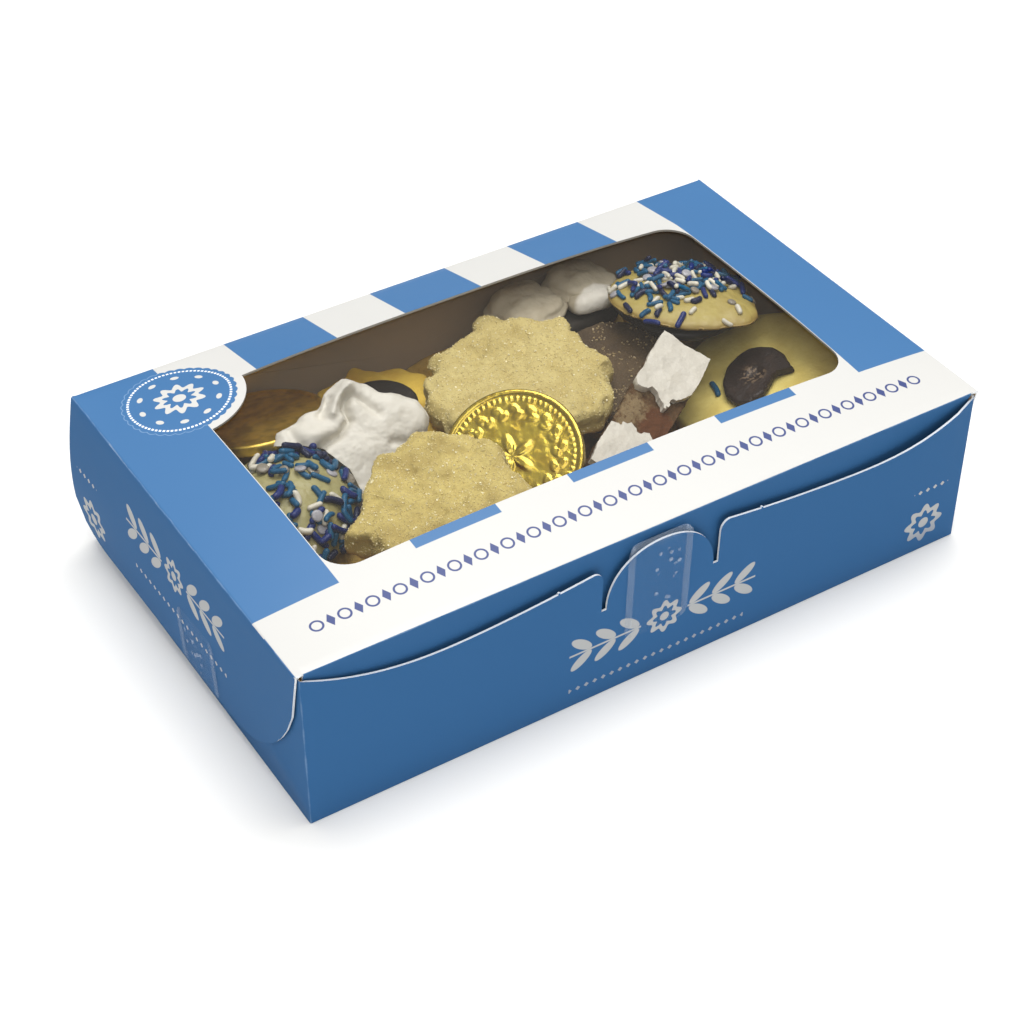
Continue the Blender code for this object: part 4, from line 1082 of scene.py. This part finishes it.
def grains(name, source, matrix, slot, finish, seed, count, sizes, where=None):
    """Small crystals or crumbs set into the upper side of a bmesh, as a piece of their own."""
    rng = np.random.default_rng(seed)
    faces = [f for f in source.faces
             if f.normal.z > 0.1 and (where is None or where(f.calc_center_median()))]
    areas = np.array([f.calc_area() for f in faces])
    picks = rng.choice(len(faces), size=count, p=areas / areas.sum())
    points, polygons = [], []
    for pick in picks:
        face = faces[pick]
        weights = rng.random(len(face.verts)) ** 2 + 0.05
        weights /= weights.sum()
        centre = sum((v.co * w for v, w in zip(face.verts, weights)), Vector())
        size = rng.uniform(*sizes)
        axes = np.linalg.qr(rng.normal(size=(3, 3)))[0]
        axes = axes * (size * rng.uniform(0.6, 1.2, 3))[:, None]
        first = len(points)
        shifted = CUBE * rng.uniform(0.7, 1.0, (8, 1))
        centre = np.array(centre + face.normal * (0.05 * size))
        points += [tuple(MM * (centre + corner @ axes)) for corner in shifted]
        polygons += [tuple(first + i for i in side) for side in CUBE_SIDES]
    mesh = bpy.data.meshes.new(name)
    mesh.from_pydata(points, [], polygons)
    mesh.validate()
    mesh.materials.append(finish)
    made = link_object(name, mesh)
    made.matrix_world = in_metres(matrix)
    keep(made, slot)


def drum(radius, thickness):
    """Side view of a plain round body."""
    return [(0.0, 0.0), (radius, 0.0), (radius, thickness), (0.0, thickness)]


def cut_profile(mean, thickness):
    """Side view of a cut-out cookie."""
    return [
        (0.0, 0.0), (mean - 1.0, 0.0), (mean, 0.32 * thickness), (mean - 0.2, 0.7 * thickness),
        (mean - 1.5, 0.95 * thickness), (0.62 * mean, thickness), (0.3 * mean, thickness),
        (0.0, thickness),
    ]


def biscuit_profile(radius, thickness, crown=0.6):
    """Side view of a plain baked cookie."""
    return [
        (0.0, 0.0), (0.93 * radius, 0.0), (radius, 0.3 * thickness), (radius, 0.62 * thickness),
        (0.91 * radius, thickness - crown), (0.0, thickness),
    ]


def dome_profile(radius, side, top):
    """Side view of a cookie with a domed top of icing."""
    profile = [(0.0, 0.0), (radius - 2.0, 0.0), (radius - 0.3, 1.4), (radius, 0.45 * side)]
    profile.append((radius - 0.5, side))
    for share in (0.93, 0.8, 0.6, 0.35):
        profile.append((radius * share, side + (top - side) * (1.0 - share ** 2.2)))
    return profile + [(0.0, top)]


def kiss_profile(radius, height):
    """Side view of a low swirl of meringue."""
    shares = [(0.0, 0.0), (0.9, 0.0), (1.0, 0.2), (0.97, 0.42), (0.85, 0.66), (0.6, 0.87),
              (0.3, 0.97), (0.0, 1.0)]
    return [(out * radius, up * height) for out, up in shares]


def cut_cookie(outline, thickness, seed, dimple, rough, layers, step=0.6):
    """Cut-out cookie with a wavy outline and a crumbly surface."""
    mean = sum(radius for _, radius in outline) / len(outline)

    def lift(x, y, z):
        if z < 0.8 * thickness:
            return 0.0
        bump = rough * swell(x, y, 0.11, LEVEL * seed)
        ease = smooth_step((z - 0.8 * thickness) / (0.2 * thickness))
        return (bump - dimple * math.exp(-(x * x + y * y) / 90.0)) * ease

    steps = int(TURN * mean / step)
    bm = turned(dense(cut_profile(mean, thickness), step), steps, shaped(outline, mean), lift)
    return roughen(bm, layers, seed)


def plain_cookies(finish):
    """The golden cookies of the two lower layers."""
    low = [(x, y, 29.5) for y in (-31.0, 31.0) for x in (-67.0, 0.0, 67.0)]
    mid = [(-67.0, -31.5, 29.0), (-67.0, 31.5, 29.0), (-4.0, -31.5, 29.0), (6.0, 31.0, 29.0),
           (56.0, -45.2, 15.0), (80.0, 43.5, 15.5), (49.0, 46.5, 14.0)]
    for layer, spots, z, first, steps, step in (
        ("low", low, LAYER_LOW, 11, 90, 2.4),
        ("mid", mid, LAYER_HIGH, 21, 150, 1.2),
    ):
        for i, (x, y, radius) in enumerate(spots):
            node = f"{layer}_cookie_{i + 1}"
            profile = biscuit_profile(radius - 0.25, LAYER_THICK - 0.2)
            bm = roughen(turned(dense(profile, step), steps), [(9.0, 0.3), (2.5, 0.15)], first + i)
            made = make_object(node + "_baked", bm, finish, placed((x, y, z)))
            keep(made, "golden_biscuit", node)


def sugar_cookie(node, outline, matrix, finishes, seed, count):
    """Pale cookie with fine sugar baked into its top and a few larger crystals."""
    finish, sugar, sparkle = finishes
    layers = [(7.0, 1.5), (3.2, 0.85), (1.5, 0.3), (0.8, 0.08)]
    bm = cut_cookie(outline, 9.0, seed, 0.0, 0.9, layers)
    for kind, look, amount, sizes in (("_sugar", sugar, count, (0.2, 0.42)),
                                      ("_crystals", sparkle, 320, (0.26, 0.56))):
        grains(node + kind, bm, matrix, "sugar_biscuit", look, seed, amount, sizes)
    keep(make_object(node + "_baked", bm, finish, matrix), "sugar_biscuit", node)


def relief(x, y):
    """Height of the coin's stamped face: beads, a leafy ring and a flower."""
    radius, angle = math.hypot(x, y), math.atan2(y, x)
    height = 0.22 * smooth_step((1.0 - abs(radius - COIN_BEADS_AT) / 0.75) * 1.4)
    height *= smooth_step(math.cos(COIN_BEADS * angle) + 0.4)
    turn = (angle * COIN_LEAVES / TURN) % 1.0 - 0.5
    for ring, lean in ((11.4, 0.5), (13.2, -0.5)):
        along = (radius - ring) * 0.9 + lean * turn * 2.0
        across = (turn + lean * 0.3) * radius * 2.0 * math.pi / COIN_LEAVES
        height += 0.3 * smooth_step(1.3 - (along / 1.1) ** 2 - (across / 1.5) ** 2)
    petal = 5.4 + 1.9 * math.cos(5.0 * angle)
    height += 0.5 * smooth_step((petal - radius) / 3.4)
    return height - 0.2 * smooth_step((2.2 - radius) / 1.2)


def coin(node, thickness, matrix, finish, seed, crinkle, stamp, steps):
    """Foil coin: raised rim and low relief on each face."""
    radius, rim, sunk = COIN_RADIUS, COIN_RIM, COIN_SUNK
    lower = [(0.0, sunk), (radius - rim - 0.6, sunk), (radius - rim, 0.0), (radius - 0.7, 0.0),
             (radius - 0.2, 0.2), (radius, 0.7)]
    profile = lower + [(out, thickness - z) for out, z in reversed(lower)]

    def on_rim(x, y):
        return math.hypot(x, y) > radius - rim - 0.3

    def lift(x, y, z):
        return 0.0 if on_rim(x, y) else (-stamp if z < 0.5 * thickness else stamp) * relief(x, y)

    def milled(angle, z):
        teeth = 0.004 * (0.5 + 0.5 * math.cos(COIN_TEETH * angle))
        return 1.0 - teeth * smooth_step(z / 0.4) * smooth_step((thickness - z) / 0.4)

    bm = turned(dense(profile, 0.3, curved=False), steps, milled, lift)
    roughen(bm, [(4.0, 2.0 * crinkle), (1.6, crinkle)], seed,
            lambda co: 0.3 if on_rim(co.x, co.y) else 1.0)
    bmesh.ops.transform(bm, matrix=matrix, verts=bm.verts)
    keep(make_object(node + "_foil", bm, finish), "gold_foil", node)


def add_rod(bm, matrix, length, width, bend, material):
    """Rod-shaped sprinkle with rounded ends, slightly bent, along X."""
    half = 0.5 * length
    rings = []
    for k in range(1, ROD_STATIONS):
        x = -half * math.cos(math.pi * k / ROD_STATIONS)
        edge = (half - abs(x)) / (0.5 * width)
        radius = 0.5 * width * math.sqrt(max(1.0 - (1.0 - min(edge, 1.0)) ** 2, 0.0))
        ring = around(bend * (x / half) ** 2, 0.0, radius, ROD_ANGLES)
        rings.append([bm.verts.new(matrix @ Vector((x, y, z))) for y, z in ring])
    ends = [bm.verts.new(matrix @ Vector((x, bend, 0.0))) for x in (-half, half)]
    for lower, upper in zip(rings, rings[1:]):
        coloured(band(bm, lower, upper), material)
    coloured(cap(bm, rings[0], ends[0], flip=True) + cap(bm, rings[-1], ends[1]), material)


def add_disc(bm, matrix, radius, thickness, material):
    """Round candy disc with a softened edge."""
    half = 0.5 * thickness
    rings = []
    for share, level in ((0.75, -1.0), (0.95, -0.6), (1.0, 0.0), (0.95, 0.6), (0.75, 1.0)):
        ring = around(0.0, 0.0, radius * share, DISC_ANGLES)
        rings.append([bm.verts.new(matrix @ Vector((x, y, level * half))) for x, y in ring])
    faces = [bm.faces.new(rings[0][::-1]), bm.faces.new(rings[-1])]
    for lower, upper in zip(rings, rings[1:]):
        faces += band(bm, lower, upper)
    coloured(faces, material)


def iced_body(outline, side, top, seed):
    """Domed cookie under its icing."""
    shape = shaped(outline)

    def reach(angle, z):
        point = Vector((1.4 * math.cos(angle), 1.4 * math.sin(angle), 0.05 * z + LEVEL * seed))
        return shape(angle, z) * (1.0 + 0.02 * noise.noise(point))

    def lift(x, y, z):
        return 0.5 * swell(x, y, 0.1, LEVEL * (seed + 1)) * smooth_step((z - side) / 3.0)

    radius = max(radius for _, radius in outline)
    bm = turned(dense(dome_profile(radius, side, top), 0.6), 200, reach, lift)
    return roughen(bm, [(5.0, 0.3), (1.6, 0.16), (0.7, 0.08)], seed)


class Sprinkler:
    """Drops sprinkles on a body, where each comes to rest on what lies there already."""

    def __init__(self, body, seed):
        self.rng = random.Random(seed)
        self.body = BVHTree.FromBMesh(body)
        self.bits = {"rods": bmesh.new(), "discs": bmesh.new()}
        self.piles = {}
        self.laid = []

    def cast(self, start, along):
        """Nearest point of the icing and of the sprinkles on it, from start along a direction."""
        hits = [tree.ray_cast(start, along) for tree in (self.body, *self.piles.values())]
        hits = [(hit, distance) for hit, _, _, distance in hits if hit is not None]
        return min(hits, key=lambda found: found[1], default=None)

    def drop(self, spot, normal, tangent, kind, length, width, colour):
        """Lay one sprinkle on the icing at a spot, unless it would stand off too steeply."""
        found = [self.cast(spot + normal * DROP_HEIGHT + tangent * (k * 0.42 * length), -normal)
                 for k in (0.0, -1.0, 1.0)]
        if None in found or abs(found[1][1] - found[2][1]) > 0.7 * length:
            return
        middle, one, two = (hit for hit, _ in found)
        along = (two - one).normalized()
        across = normal.cross(along).normalized()
        up = along.cross(across)
        rest = (one + two) * 0.5
        rest += up * max((middle - rest).dot(up) * 0.8, 0.0)
        turn = axes_matrix(along, across, up, rest + up * 0.3 * width)
        if kind == "rods":
            bend = self.rng.uniform(-0.12, 0.12) * length
            add_rod(self.bits[kind], turn, length, width, bend, colour)
        else:
            add_disc(self.bits[kind], turn, 0.5 * length, width, colour)
        self.piles[kind] = BVHTree.FromBMesh(self.bits[kind])
        self.laid.append(spot)

    def scatter(self, count, cover, scale, mix):
        """Drop sprinkles from all sides, with only a few of them close together."""
        rng = self.rng
        for _ in range(MOST_TRIES):
            if len(self.laid) == count:
                break
            turn, rise = rng.uniform(0.0, TURN), math.asin(rng.uniform(0.03, 1.0))
            flat = math.cos(rise)
            outward = Vector((math.cos(turn) * flat, math.sin(turn) * flat, math.sin(rise)))
            spot, normal, _, _ = self.body.ray_cast(outward * 60.0, -outward)
            if spot is None or rng.random() > cover(spot):
                continue
            if sum((spot - other).length < CROWD_REACH for other in self.laid) > CROWD:
                continue
            tangent = normal.orthogonal().normalized()
            tangent.rotate(Matrix.Rotation(rng.uniform(0.0, TURN), 3, normal))
            if rng.random() < DISC_SHARE:
                colour = rng.choice((SILVERY, SILVERY, DULL))
                self.drop(spot, normal, tangent, "discs", scale * rng.uniform(3.0, 3.7), 0.9,
                          colour)
            else:
                colour = rng.choice(mix)
                length = scale * rng.uniform(*((3.6, 5.0) if colour == WHITE else (3.8, 6.8)))
                width = scale * rng.uniform(1.5, 1.9)
                width *= 1.14 if colour in (ROYAL, INDIGO) else 1.0
                self.drop(spot, normal, tangent, "rods", length, width, colour)


def dust(angle, low, soft, far, height, bare=0.0):
    """Chance that a sprinkle lies at a point: it rises from low over a soft width, up to far."""
    toward = Vector((math.cos(math.radians(angle)), math.sin(math.radians(angle)), 0.0))

    def cover(spot):
        lean = spot.dot(toward)
        if lean > far or spot.z < height:
            return 0.0
        return bare + (1.0 - bare) * smooth_step((lean - low) / soft)
    return cover


def iced_cookie(node, outline, side, top, matrix, finish, looks, seed, cover, count, scale, mix):
    """Domed iced cookie with rod and disc sprinkles pressed into the icing."""
    body = iced_body(outline, side, top, seed)
    sprinkler = Sprinkler(body, seed)
    sprinkler.scatter(count, cover, scale, mix)
    keep(make_object(node + "_iced", body, finish, matrix), "cream_icing", node)
    for kind, finishes in looks.items():
        bits = sprinkler.bits[kind]
        bmesh.ops.transform(bits, matrix=matrix, verts=bits.verts)
        keep(make_object(node + "_" + kind, bits, finishes, sharp=50.0), "cream_icing")


def press(made, bm, matrix):
    """Cut a neighbour's shape out of a soft piece."""
    neighbour = make_object("neighbour", bm, made.data.materials[0], matrix)
    cut = made.modifiers.new("contact", "BOOLEAN")
    cut.operation = "DIFFERENCE"
    cut.object = neighbour
    bake(made)
    bpy.data.objects.remove(neighbour)


def distance_to(line, x, y):
    """Distance from a point to a line of several points."""
    nearest = math.inf
    for (x0, y0), (x1, y1) in zip(line, line[1:]):
        run, rise = x1 - x0, y1 - y0
        share = ((x - x0) * run + (y - y0) * rise) / (run * run + rise * rise)
        share = min(max(share, 0.0), 1.0)
        nearest = min(nearest, math.hypot(x - x0 - share * run, y - y0 - share * rise))
    return nearest


def meringue_front(finish):
    """Soft star of meringue leaning back on its neighbours; its peak is at the top."""
    mean = 15.0

    def lift(x, y, z):
        ease = smooth_step((z + 0.3) / 1.4)
        height = sum(size * math.exp(-(((x - cx) / rx) ** 2 + ((y - cy) / ry) ** 2))
                     for cx, cy, rx, ry, size in MERINGUE_LOBES)
        height += sum(1.15 * size * math.exp(-((distance_to(line, x, y) / width) ** 2))
                      for line, width, size in MERINGUE_FOLDS)
        return ease * (height + 0.4 * swell(x, y, 0.12, LEVEL * 5))

    profile = [(out * mean, z) for out, z in (
        (0.0, -8.0), (0.6, -7.0), (0.9, -4.6), (1.0, -2.0), (0.97, -0.1), (0.86, 1.2),
        (0.62, 1.9), (0.4, 2.2), (0.2, 2.4), (0.0, 2.4))]
    normal = Vector((-0.066, -0.633, 0.771)).normalized()
    side = square_to(Vector((1.0, 0.0, 0.0)), normal)
    matrix = axes_matrix(side, normal.cross(side), normal,
                         Vector((-40.0, 16.0, 41.0)) - normal * 1.6)
    bm = turned(dense(profile, 0.4), 240, shaped(MERINGUE_OUTLINE, mean), lift)
    roughen(bm, [(6.0, 0.4), (2.0, 0.2), (0.9, 0.12)], 5)
    made = make_object("meringue_front_whipped", bm, finish, matrix)
    iced = turned(dome_profile(25.4, 7.6, 20.8), 96, shaped(ICED_FRONT_OUTLINE))
    press(made, iced, moved(FRONT_ICED, 0.0, 0.0, -1.0))
    press(made, turned(drum(22.0, 8.3), 64), placed((-25.5, 33.4, 26.0)))
    press(made, turned(drum(19.3, 4.1), 64), moved(RESTING, 0.0, 0.0, -0.4))
    smooth(made.data, 50.0)
    keep(made, "meringue", "meringue_front")


def meringue_back(white, dark):
    """Two joined mounds of meringue on a dark base."""
    def swirl(angle, z):
        return 1.0 + 0.05 * math.cos(4.0 * angle + 0.5 * z) + 0.03 * math.cos(2.2 * z)

    def drawn_out(angle, z):
        return 1.0 + 0.75 * math.cos(angle) ** 2

    whipped = bmesh.new()
    base = placed((30.5, 48.0, 34.7), 3.0, 200.0)
    for radius, height, steps, depth, reach, matrix in (
        (11.6, 7.6, 120, 1.0, swirl, base),
        (11.0, 7.6, 120, 1.0, swirl, placed((50.4, 49.6, 34.9), 3.0, 20.0)),
        (4.2, 5.4, 60, 4.2 / 11.0, drawn_out, placed((49.2, 41.9, 35.6), 0.0, 0.0, -4.0)),
    ):
        bm = turned(dense(kiss_profile(radius, height), 0.5), steps, reach)
        roughen(bm, [(6.5, depth), (3.0, 0.5 * depth), (1.2, 0.12)], steps)
        bmesh.ops.transform(bm, matrix=base.inverted() @ matrix, verts=bm.verts)
        part = bpy.data.meshes.new("mound")
        bm.to_mesh(part)
        bm.free()
        whipped.from_mesh(part)
        bpy.data.meshes.remove(part)
    keep(make_object("meringue_back_whipped", whipped, white, base), "meringue",
         "meringue_back")

    half, radius = 10.5, 11.6

    def capsule(angle, z):
        c, s = abs(math.cos(angle)), abs(math.sin(angle))
        if half * s > radius * c:
            return 1.0 / s
        return (half * c + math.sqrt(radius * radius - (half * s) ** 2)) / radius

    profile = [(0.0, 0.0), (10.0, 0.0), (radius, 2.0), (radius, 5.8), (10.2, 7.3), (0.0, 7.4)]
    bm = roughen(turned(dense(profile, 0.8), 140, capsule), [(4.0, 0.15), (1.2, 0.08)], 7)
    matrix = placed((40.4, 49.0, 26.6), 0.0, 0.0, 5.4)
    keep(make_object("meringue_back_base_baked", bm, dark, matrix), "chocolate",
         "meringue_back_base")


def slab(outline, low, high, spacing):
    """Plate over an outline, with closely spaced points all over."""
    points = filled_in(outline, spacing)
    count, spans = len(points), []
    for values in zip(*points):
        start, end = min(values), max(values)
        spans.append(spread(start, end, int((end - start) / spacing)))
    inner = []
    rng = random.Random(3)
    for x in spans[0]:
        for y in spans[1]:
            x1, y1 = x + rng.uniform(-0.2, 0.2) * spacing, y + rng.uniform(-0.2, 0.2) * spacing
            if inside(points, x1, y1) and clear_of(points, x1, y1, 0.6 * spacing):
                inner.append((x1, y1))
    points, faces = triangulated([points], inner, 1)
    bm = bmesh.new()
    top, bottom = ([bm.verts.new((x, y, z)) for x, y in points] for z in (high, low))
    for face in faces:
        bm.faces.new([top[i] for i in face])
        bm.faces.new([bottom[i] for i in reversed(face)])
    rows = [bottom[:count]]
    levels = max(int((high - low) / spacing), 2)
    for k in range(1, levels):
        z = low + (high - low) * k / levels
        rows.append([bm.verts.new((x, y, z)) for x, y in points[:count]])
    rows.append(top[:count])
    for lower, upper in zip(rows, rows[1:]):
        band(bm, lower, upper)
    bmesh.ops.recalc_face_normals(bm, faces=bm.faces)
    return bm


def torn(outline):
    """Outline made ragged where the icing is broken away, off the bar's long sides."""
    rng = random.Random(5)
    points = []
    for x, y in filled_in(outline, 0.9):
        rough = 0.55 if BREAK_START < x < BREAK_END and 0.5 < y < 14.5 else 0.1
        points.append((x + rng.uniform(-rough, rough), y + rng.uniform(-rough, rough)))
    return points


def iced_bar(core, icing):
    """Bar with its icing broken away in the middle."""
    along = Vector((-0.830, -0.540, -0.140)).normalized()
    across = square_to(Vector((0.506, -0.747, -0.4305)), along)
    matrix = axes_matrix(along, across, along.cross(across), Vector((47.4, 3.6, 50.1)))
    crumb, set_hard = [(2.2, 0.6), (0.9, 0.3)], [(5.0, 0.4), (1.2, 0.14)]
    for node, kind, outline, low, high, finish, slot, layers in (
        ("bar_core", "_baked", BAR, -8.0, -2.5, core, "brown_biscuit", crumb),
        ("bar_icing_upper", "_set", BAR_UPPER, -2.2, 0.0, icing, "icing", set_hard),
        ("bar_icing_lower", "_set", BAR_LOWER, -2.2, 0.0, icing, "icing", set_hard),
    ):
        bm = roughen(slab(torn(outline), low, high, 0.5), layers, 9)
        keep(make_object(node + kind, bm, finish, matrix, sharp=50.0), slot, node)


def button_cookie(finish, disc, rods):
    """Large pale cookie with a broken chocolate disc in its dimple and two loose sprinkles."""
    matrix = on_top((71.5, -8.5, 33.5), 11.5, 22.0, 162.0)
    outline = [(a, 26.3 + 0.3 * math.cos(0.09 * a)) for a in range(0, 360, 45)]
    bm = cut_cookie(outline, 11.5, 31, 1.2, 0.3, [(5.0, 0.15), (1.2, 0.08)])
    loose = Sprinkler(bm, 7)
    for x, y, heading, length in ((-11.2, 5.1, 253.0, 6.6), (-16.8, 10.9, 280.0, 2.4)):
        spot, normal, _, _ = loose.body.ray_cast(Vector((x, y, 60.0)), Vector((0.0, 0.0, -1.0)))
        tangent = Vector((math.cos(math.radians(heading)), math.sin(math.radians(heading)), 0.0))
        loose.drop(spot, normal, tangent, "rods", length, 1.7, TEAL)
    keep(make_object("loose_rods", loose.bits["rods"], rods, matrix, sharp=50.0), "cream_icing")
    keep(make_object("cookie_button_baked", bm, finish, matrix), "sugar_biscuit",
         "cookie_button")

    def dip(x, y, z):
        return -0.8 * smooth_step(1.4 - math.hypot(x, y) / 2.4) if z > 1.5 else 0.0

    bm = turned(dense(DISC_PROFILE, 0.4, curved=False), 240, shaped(DISC_OUTLINE, 10.2), dip)
    roughen(bm, [(2.0, 0.1), (0.8, 0.06)], 8)
    keep(make_object("button_disc_set", bm, disc, moved(matrix, -1.3, -1.7, 11.6), sharp=50.0),
         "chocolate", "button_disc")


def flower_cookie(finish, chocolate):
    """Scalloped cookie with a chocolate disc."""
    bm = cut_cookie(FLOWER_OUTLINE, 7.4, 32, 0.8, 0.3, [(5.0, 0.2), (1.2, 0.1)])
    keep(make_object("cookie_flower_baked", bm, finish, placed((-25.7, 33.4, 26.5))),
         "sugar_biscuit", "cookie_flower")
    bm = roughen(turned(dense(DISC_PROFILE, 0.5, curved=False), 120), [(2.0, 0.1)], 6)
    made = make_object("flower_disc_set", bm, chocolate, placed((-25.5, 33.4, 33.9)), sharp=50.0)
    keep(made, "chocolate", "flower_disc")


def brown_cookie(finish, crystal):
    """Dark cookie with patches of coarse sugar."""
    matrix = on_top((38.0, 13.0, 36.1), 7.8, 6.0, 180.0)
    outline = [(a, 21.0 + 0.7 * math.cos(0.11 * a)) for a in range(0, 360, 30)]
    bm = cut_cookie(outline, 7.8, 33, 0.0, 0.7, [(5.0, 0.35), (1.5, 0.25)])
    grains("cookie_brown_sugar", bm, matrix, "brown_biscuit", crystal, 33, 420, (0.3, 0.7),
           lambda spot: swell(spot.x, spot.y, 0.16, 3.0) > 0.05)
    keep(make_object("cookie_brown_baked", bm, finish, matrix), "brown_biscuit", "cookie_brown")


def contents():
    """Everything inside the carton, from the lowest layer up."""
    plain_cookies(crumbly("golden_baked", (208, 174, 88), (184, 142, 58), (150, 102, 42)))
    sparkle = Surface("sugar_crystal", (232, 222, 180), 0.12).material
    pale = crumbly("sugar_baked", (194, 177, 115), (168, 147, 82), (160, 122, 60), 0.12)
    sugar = Surface("sugar_fine", (203, 187, 130), 0.4).material
    sugar_cookie("cookie_sugar_back", SUGAR_OUTLINE, placed((8.2, 15.4, 35.3), 3.5, 180.0),
                 (pale, sugar, sparkle), 34, 4500)
    # Painted shade darkens the front sugar cookie towards its front edge, in its baked body and in
    # its fine sugar.
    deep = crumbly("sugar_baked_deep", (194, 175, 104), (150, 127, 64), (150, 112, 52), 0.12,
                   front=(150, 128, 66))
    sugar = Surface("sugar_fine_deep", (206, 189, 128), 0.4)
    paint_front_shade(sugar, (160, 138, 76))
    sugar_cookie("cookie_sugar_front", SUGAR_FRONT_OUTLINE,
                 on_top((-38.9, -23.4, 46.8), 7.0, 9.0, 180.0),
                 (deep, sugar.material, sparkle), 35, 3800)

    rods = [
        speckled("sprinkle_teal", (8, 78, 112), (24, 100, 134), 0.35, shine=0.3),
        speckled("sprinkle_royal", (12, 34, 96), (24, 48, 114), 0.35, shine=0.3),
        speckled("sprinkle_navy", (12, 22, 56), (24, 34, 72), 0.35, shine=0.3),
        speckled("sprinkle_white", (202, 196, 178), (186, 178, 156), 0.4),
    ]
    discs = [
        speckled("sprinkle_silver", (146, 144, 148), (196, 195, 198), 0.22),
        speckled("sprinkle_dull", (130, 122, 108), (170, 162, 146), 0.3),
    ]
    chocolate = speckled("chocolate_set", (32, 28, 24), (46, 38, 31), 0.45, 1.6, 0.08, 0.12, 0.3)
    button_cookie(crumbly("button_baked", (224, 204, 116), (204, 178, 84), (160, 112, 44), 0.1),
                  broken_chocolate(), rods)
    flower_cookie(crumbly("flower_baked", (218, 184, 72), (184, 142, 46), (150, 96, 32), 0.12),
                  chocolate)
    brown_cookie(crumbly("brown_baked", (84, 66, 40), (60, 45, 27), (50, 37, 23), 0.3),
                 Surface("brown_sugar_crystal", (160, 140, 102), 0.3).material)

    leaning = moved(placed((-11.7, -12.6, 41.2), 34.0, 216.9), 0.0, 0.0, -1.8)
    gold = foil("gold_bright", (182, 160, 62), 0.07, 0.26)
    coin("coin_front", 3.6, leaning, gold, 1, 0.045, 0.8, 480)
    # The back coin is the same gold foil as the front one; this copy has a paler, brighter tint,
    # painted light that makes up for the shade it lies in.
    gold_brightened_for_shade = foil("gold_shaded", (240, 206, 96), 0.02, 0.42)
    coin("coin_back", 3.3, RESTING, gold_brightened_for_shade, 2, 0.02, 0.25, 240)

    meringue_front(speckled("meringue_white", (211, 206, 193), (190, 183, 167), 0.6, 2.6, 0.05,
                            0.12))
    meringue_back(meringue_in_painted_shade(),
                  crumbly("meringue_base", (52, 46, 37), (40, 34, 26), (40, 34, 26), 0.1))
    iced_bar(bar_crumb(), bar_icing())

    looks = {"rods": rods, "discs": discs}
    mix = [TEAL] * 4 + [ROYAL] * 2 + [INDIGO] + [WHITE] * 2
    cream = crumbly("cream_icing_set", (160, 153, 104), (142, 130, 78), (138, 88, 40), 0.08, 0.45)
    iced_cookie("cookie_sprinkled_front", ICED_FRONT_OUTLINE, 6.5, 17.2, FRONT_ICED, cream,
                looks, 41, dust(110.0, -30.0, 4.0, 16.5, 3.6), 165, 0.96, mix)
    stack = placed((65.6, 19.2, 44.3), 10.5, 52.0)
    butter = crumbly("butter_icing_set", (170, 153, 82), (152, 132, 64), (134, 96, 44), 0.08,
                     0.45)
    iced_cookie("cookie_sprinkled_back", ICED_BACK_OUTLINE, 2.0, 6.8, stack, butter,
                looks, 42, dust(75.0, -24.0, 14.0, 40.0, 1.4, 0.32), 175, 0.82, mix + [WHITE])
    profile = biscuit_profile(21.6, 3.8, 0.5)
    bm = turned(dense(profile, 0.8), 160, shaped(CHOCOLATE_OUTLINE))
    roughen(bm, [(4.0, 0.2), (1.2, 0.08)], 12)
    made = make_object("cookie_chocolate_baked", bm, chocolate, moved(stack, 0.7, -0.5, -4.2))
    keep(made, "chocolate", "cookie_chocolate")


def studio():
    """Pale floor, soft light from above and the camera."""
    bm = bmesh.new()
    grid(bm, [[(x, y, 0.0) for x in (-FLOOR_HALF, FLOOR_HALF)] for y in (-FLOOR_HALF, FLOOR_HALF)])
    pale = Surface("floor_pale", (230, 229, 226), 0.8, emission_strength=0.08)
    floor = make_object("floor", bm, pale.material)

    world = bpy.data.worlds.new("studio")
    bpy.context.scene.world = world
    world.use_nodes = True
    sky = world.node_tree
    facing = sky.nodes.new("ShaderNodeTexCoord")
    split = sky.nodes.new("ShaderNodeSeparateXYZ")
    height = sky.nodes.new("ShaderNodeMapRange")
    for name, value in (("From Max", 0.7), ("To Min", 0.24), ("To Max", 0.52)):
        height.inputs[name].default_value = value
    background = sky.nodes["Background"]
    background.inputs["Color"].default_value = (1.0, 1.0, 1.0, 1.0)
    sky.links.new(facing.outputs["Generated"], split.inputs[0])
    sky.links.new(split.outputs["Z"], height.inputs["Value"])
    sky.links.new(height.outputs["Result"], background.inputs["Strength"])

    for name, at, size, power in (
        ("overhead", (0.19, 0.17, 1.5), 1.2, 23.0),
        ("front_fill", (-0.45, -0.75, 1.2), 1.0, 6.5),
    ):
        lamp = bpy.data.lights.new(name, "AREA")
        lamp.shape = "DISK"
        lamp.size = size
        lamp.energy = power
        made = link_object(name, lamp)
        made.location = at
        made.rotation_euler = (-Vector(at)).to_track_quat("-Z", "Y").to_euler()

    eye = bpy.data.cameras.new("camera")
    eye.lens = 77.955
    eye.sensor_width = 36.0
    eye.clip_start = 0.01
    made = link_object("camera", eye)
    right = Vector((0.84542087, -0.53409821, 0.00162557))
    up = Vector((0.3420525, 0.54376535, 0.76636762))
    made.matrix_world = axes_matrix(right, up, right.cross(up),
                                    (-0.25409737, -0.39434679, 0.40205367))
    bpy.context.scene.camera = made
    bpy.context.scene.view_settings.view_transform = "Standard"
    bpy.context.scene.view_settings.look = "None"


def main():
    inner = plain_board("board_inner", (192, 170, 140))
    cut = plain_board("board_cut", (236, 239, 242))
    # Darker copy of the cut board, painted shade on the window's cut edges.
    rim = plain_board("board_cut_shaded", (150, 146, 138))
    carton([lid_print(), wall_print(), inner, cut, rim])
    seals()
    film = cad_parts["window_film"]
    clear = Surface("window_clear_film", (120, 118, 114), 0.08, alpha=0.05)
    film.data.materials.clear()
    film.data.materials.append(clear.material)
    film.data.shade_smooth()
    contents()
    studio()


main()
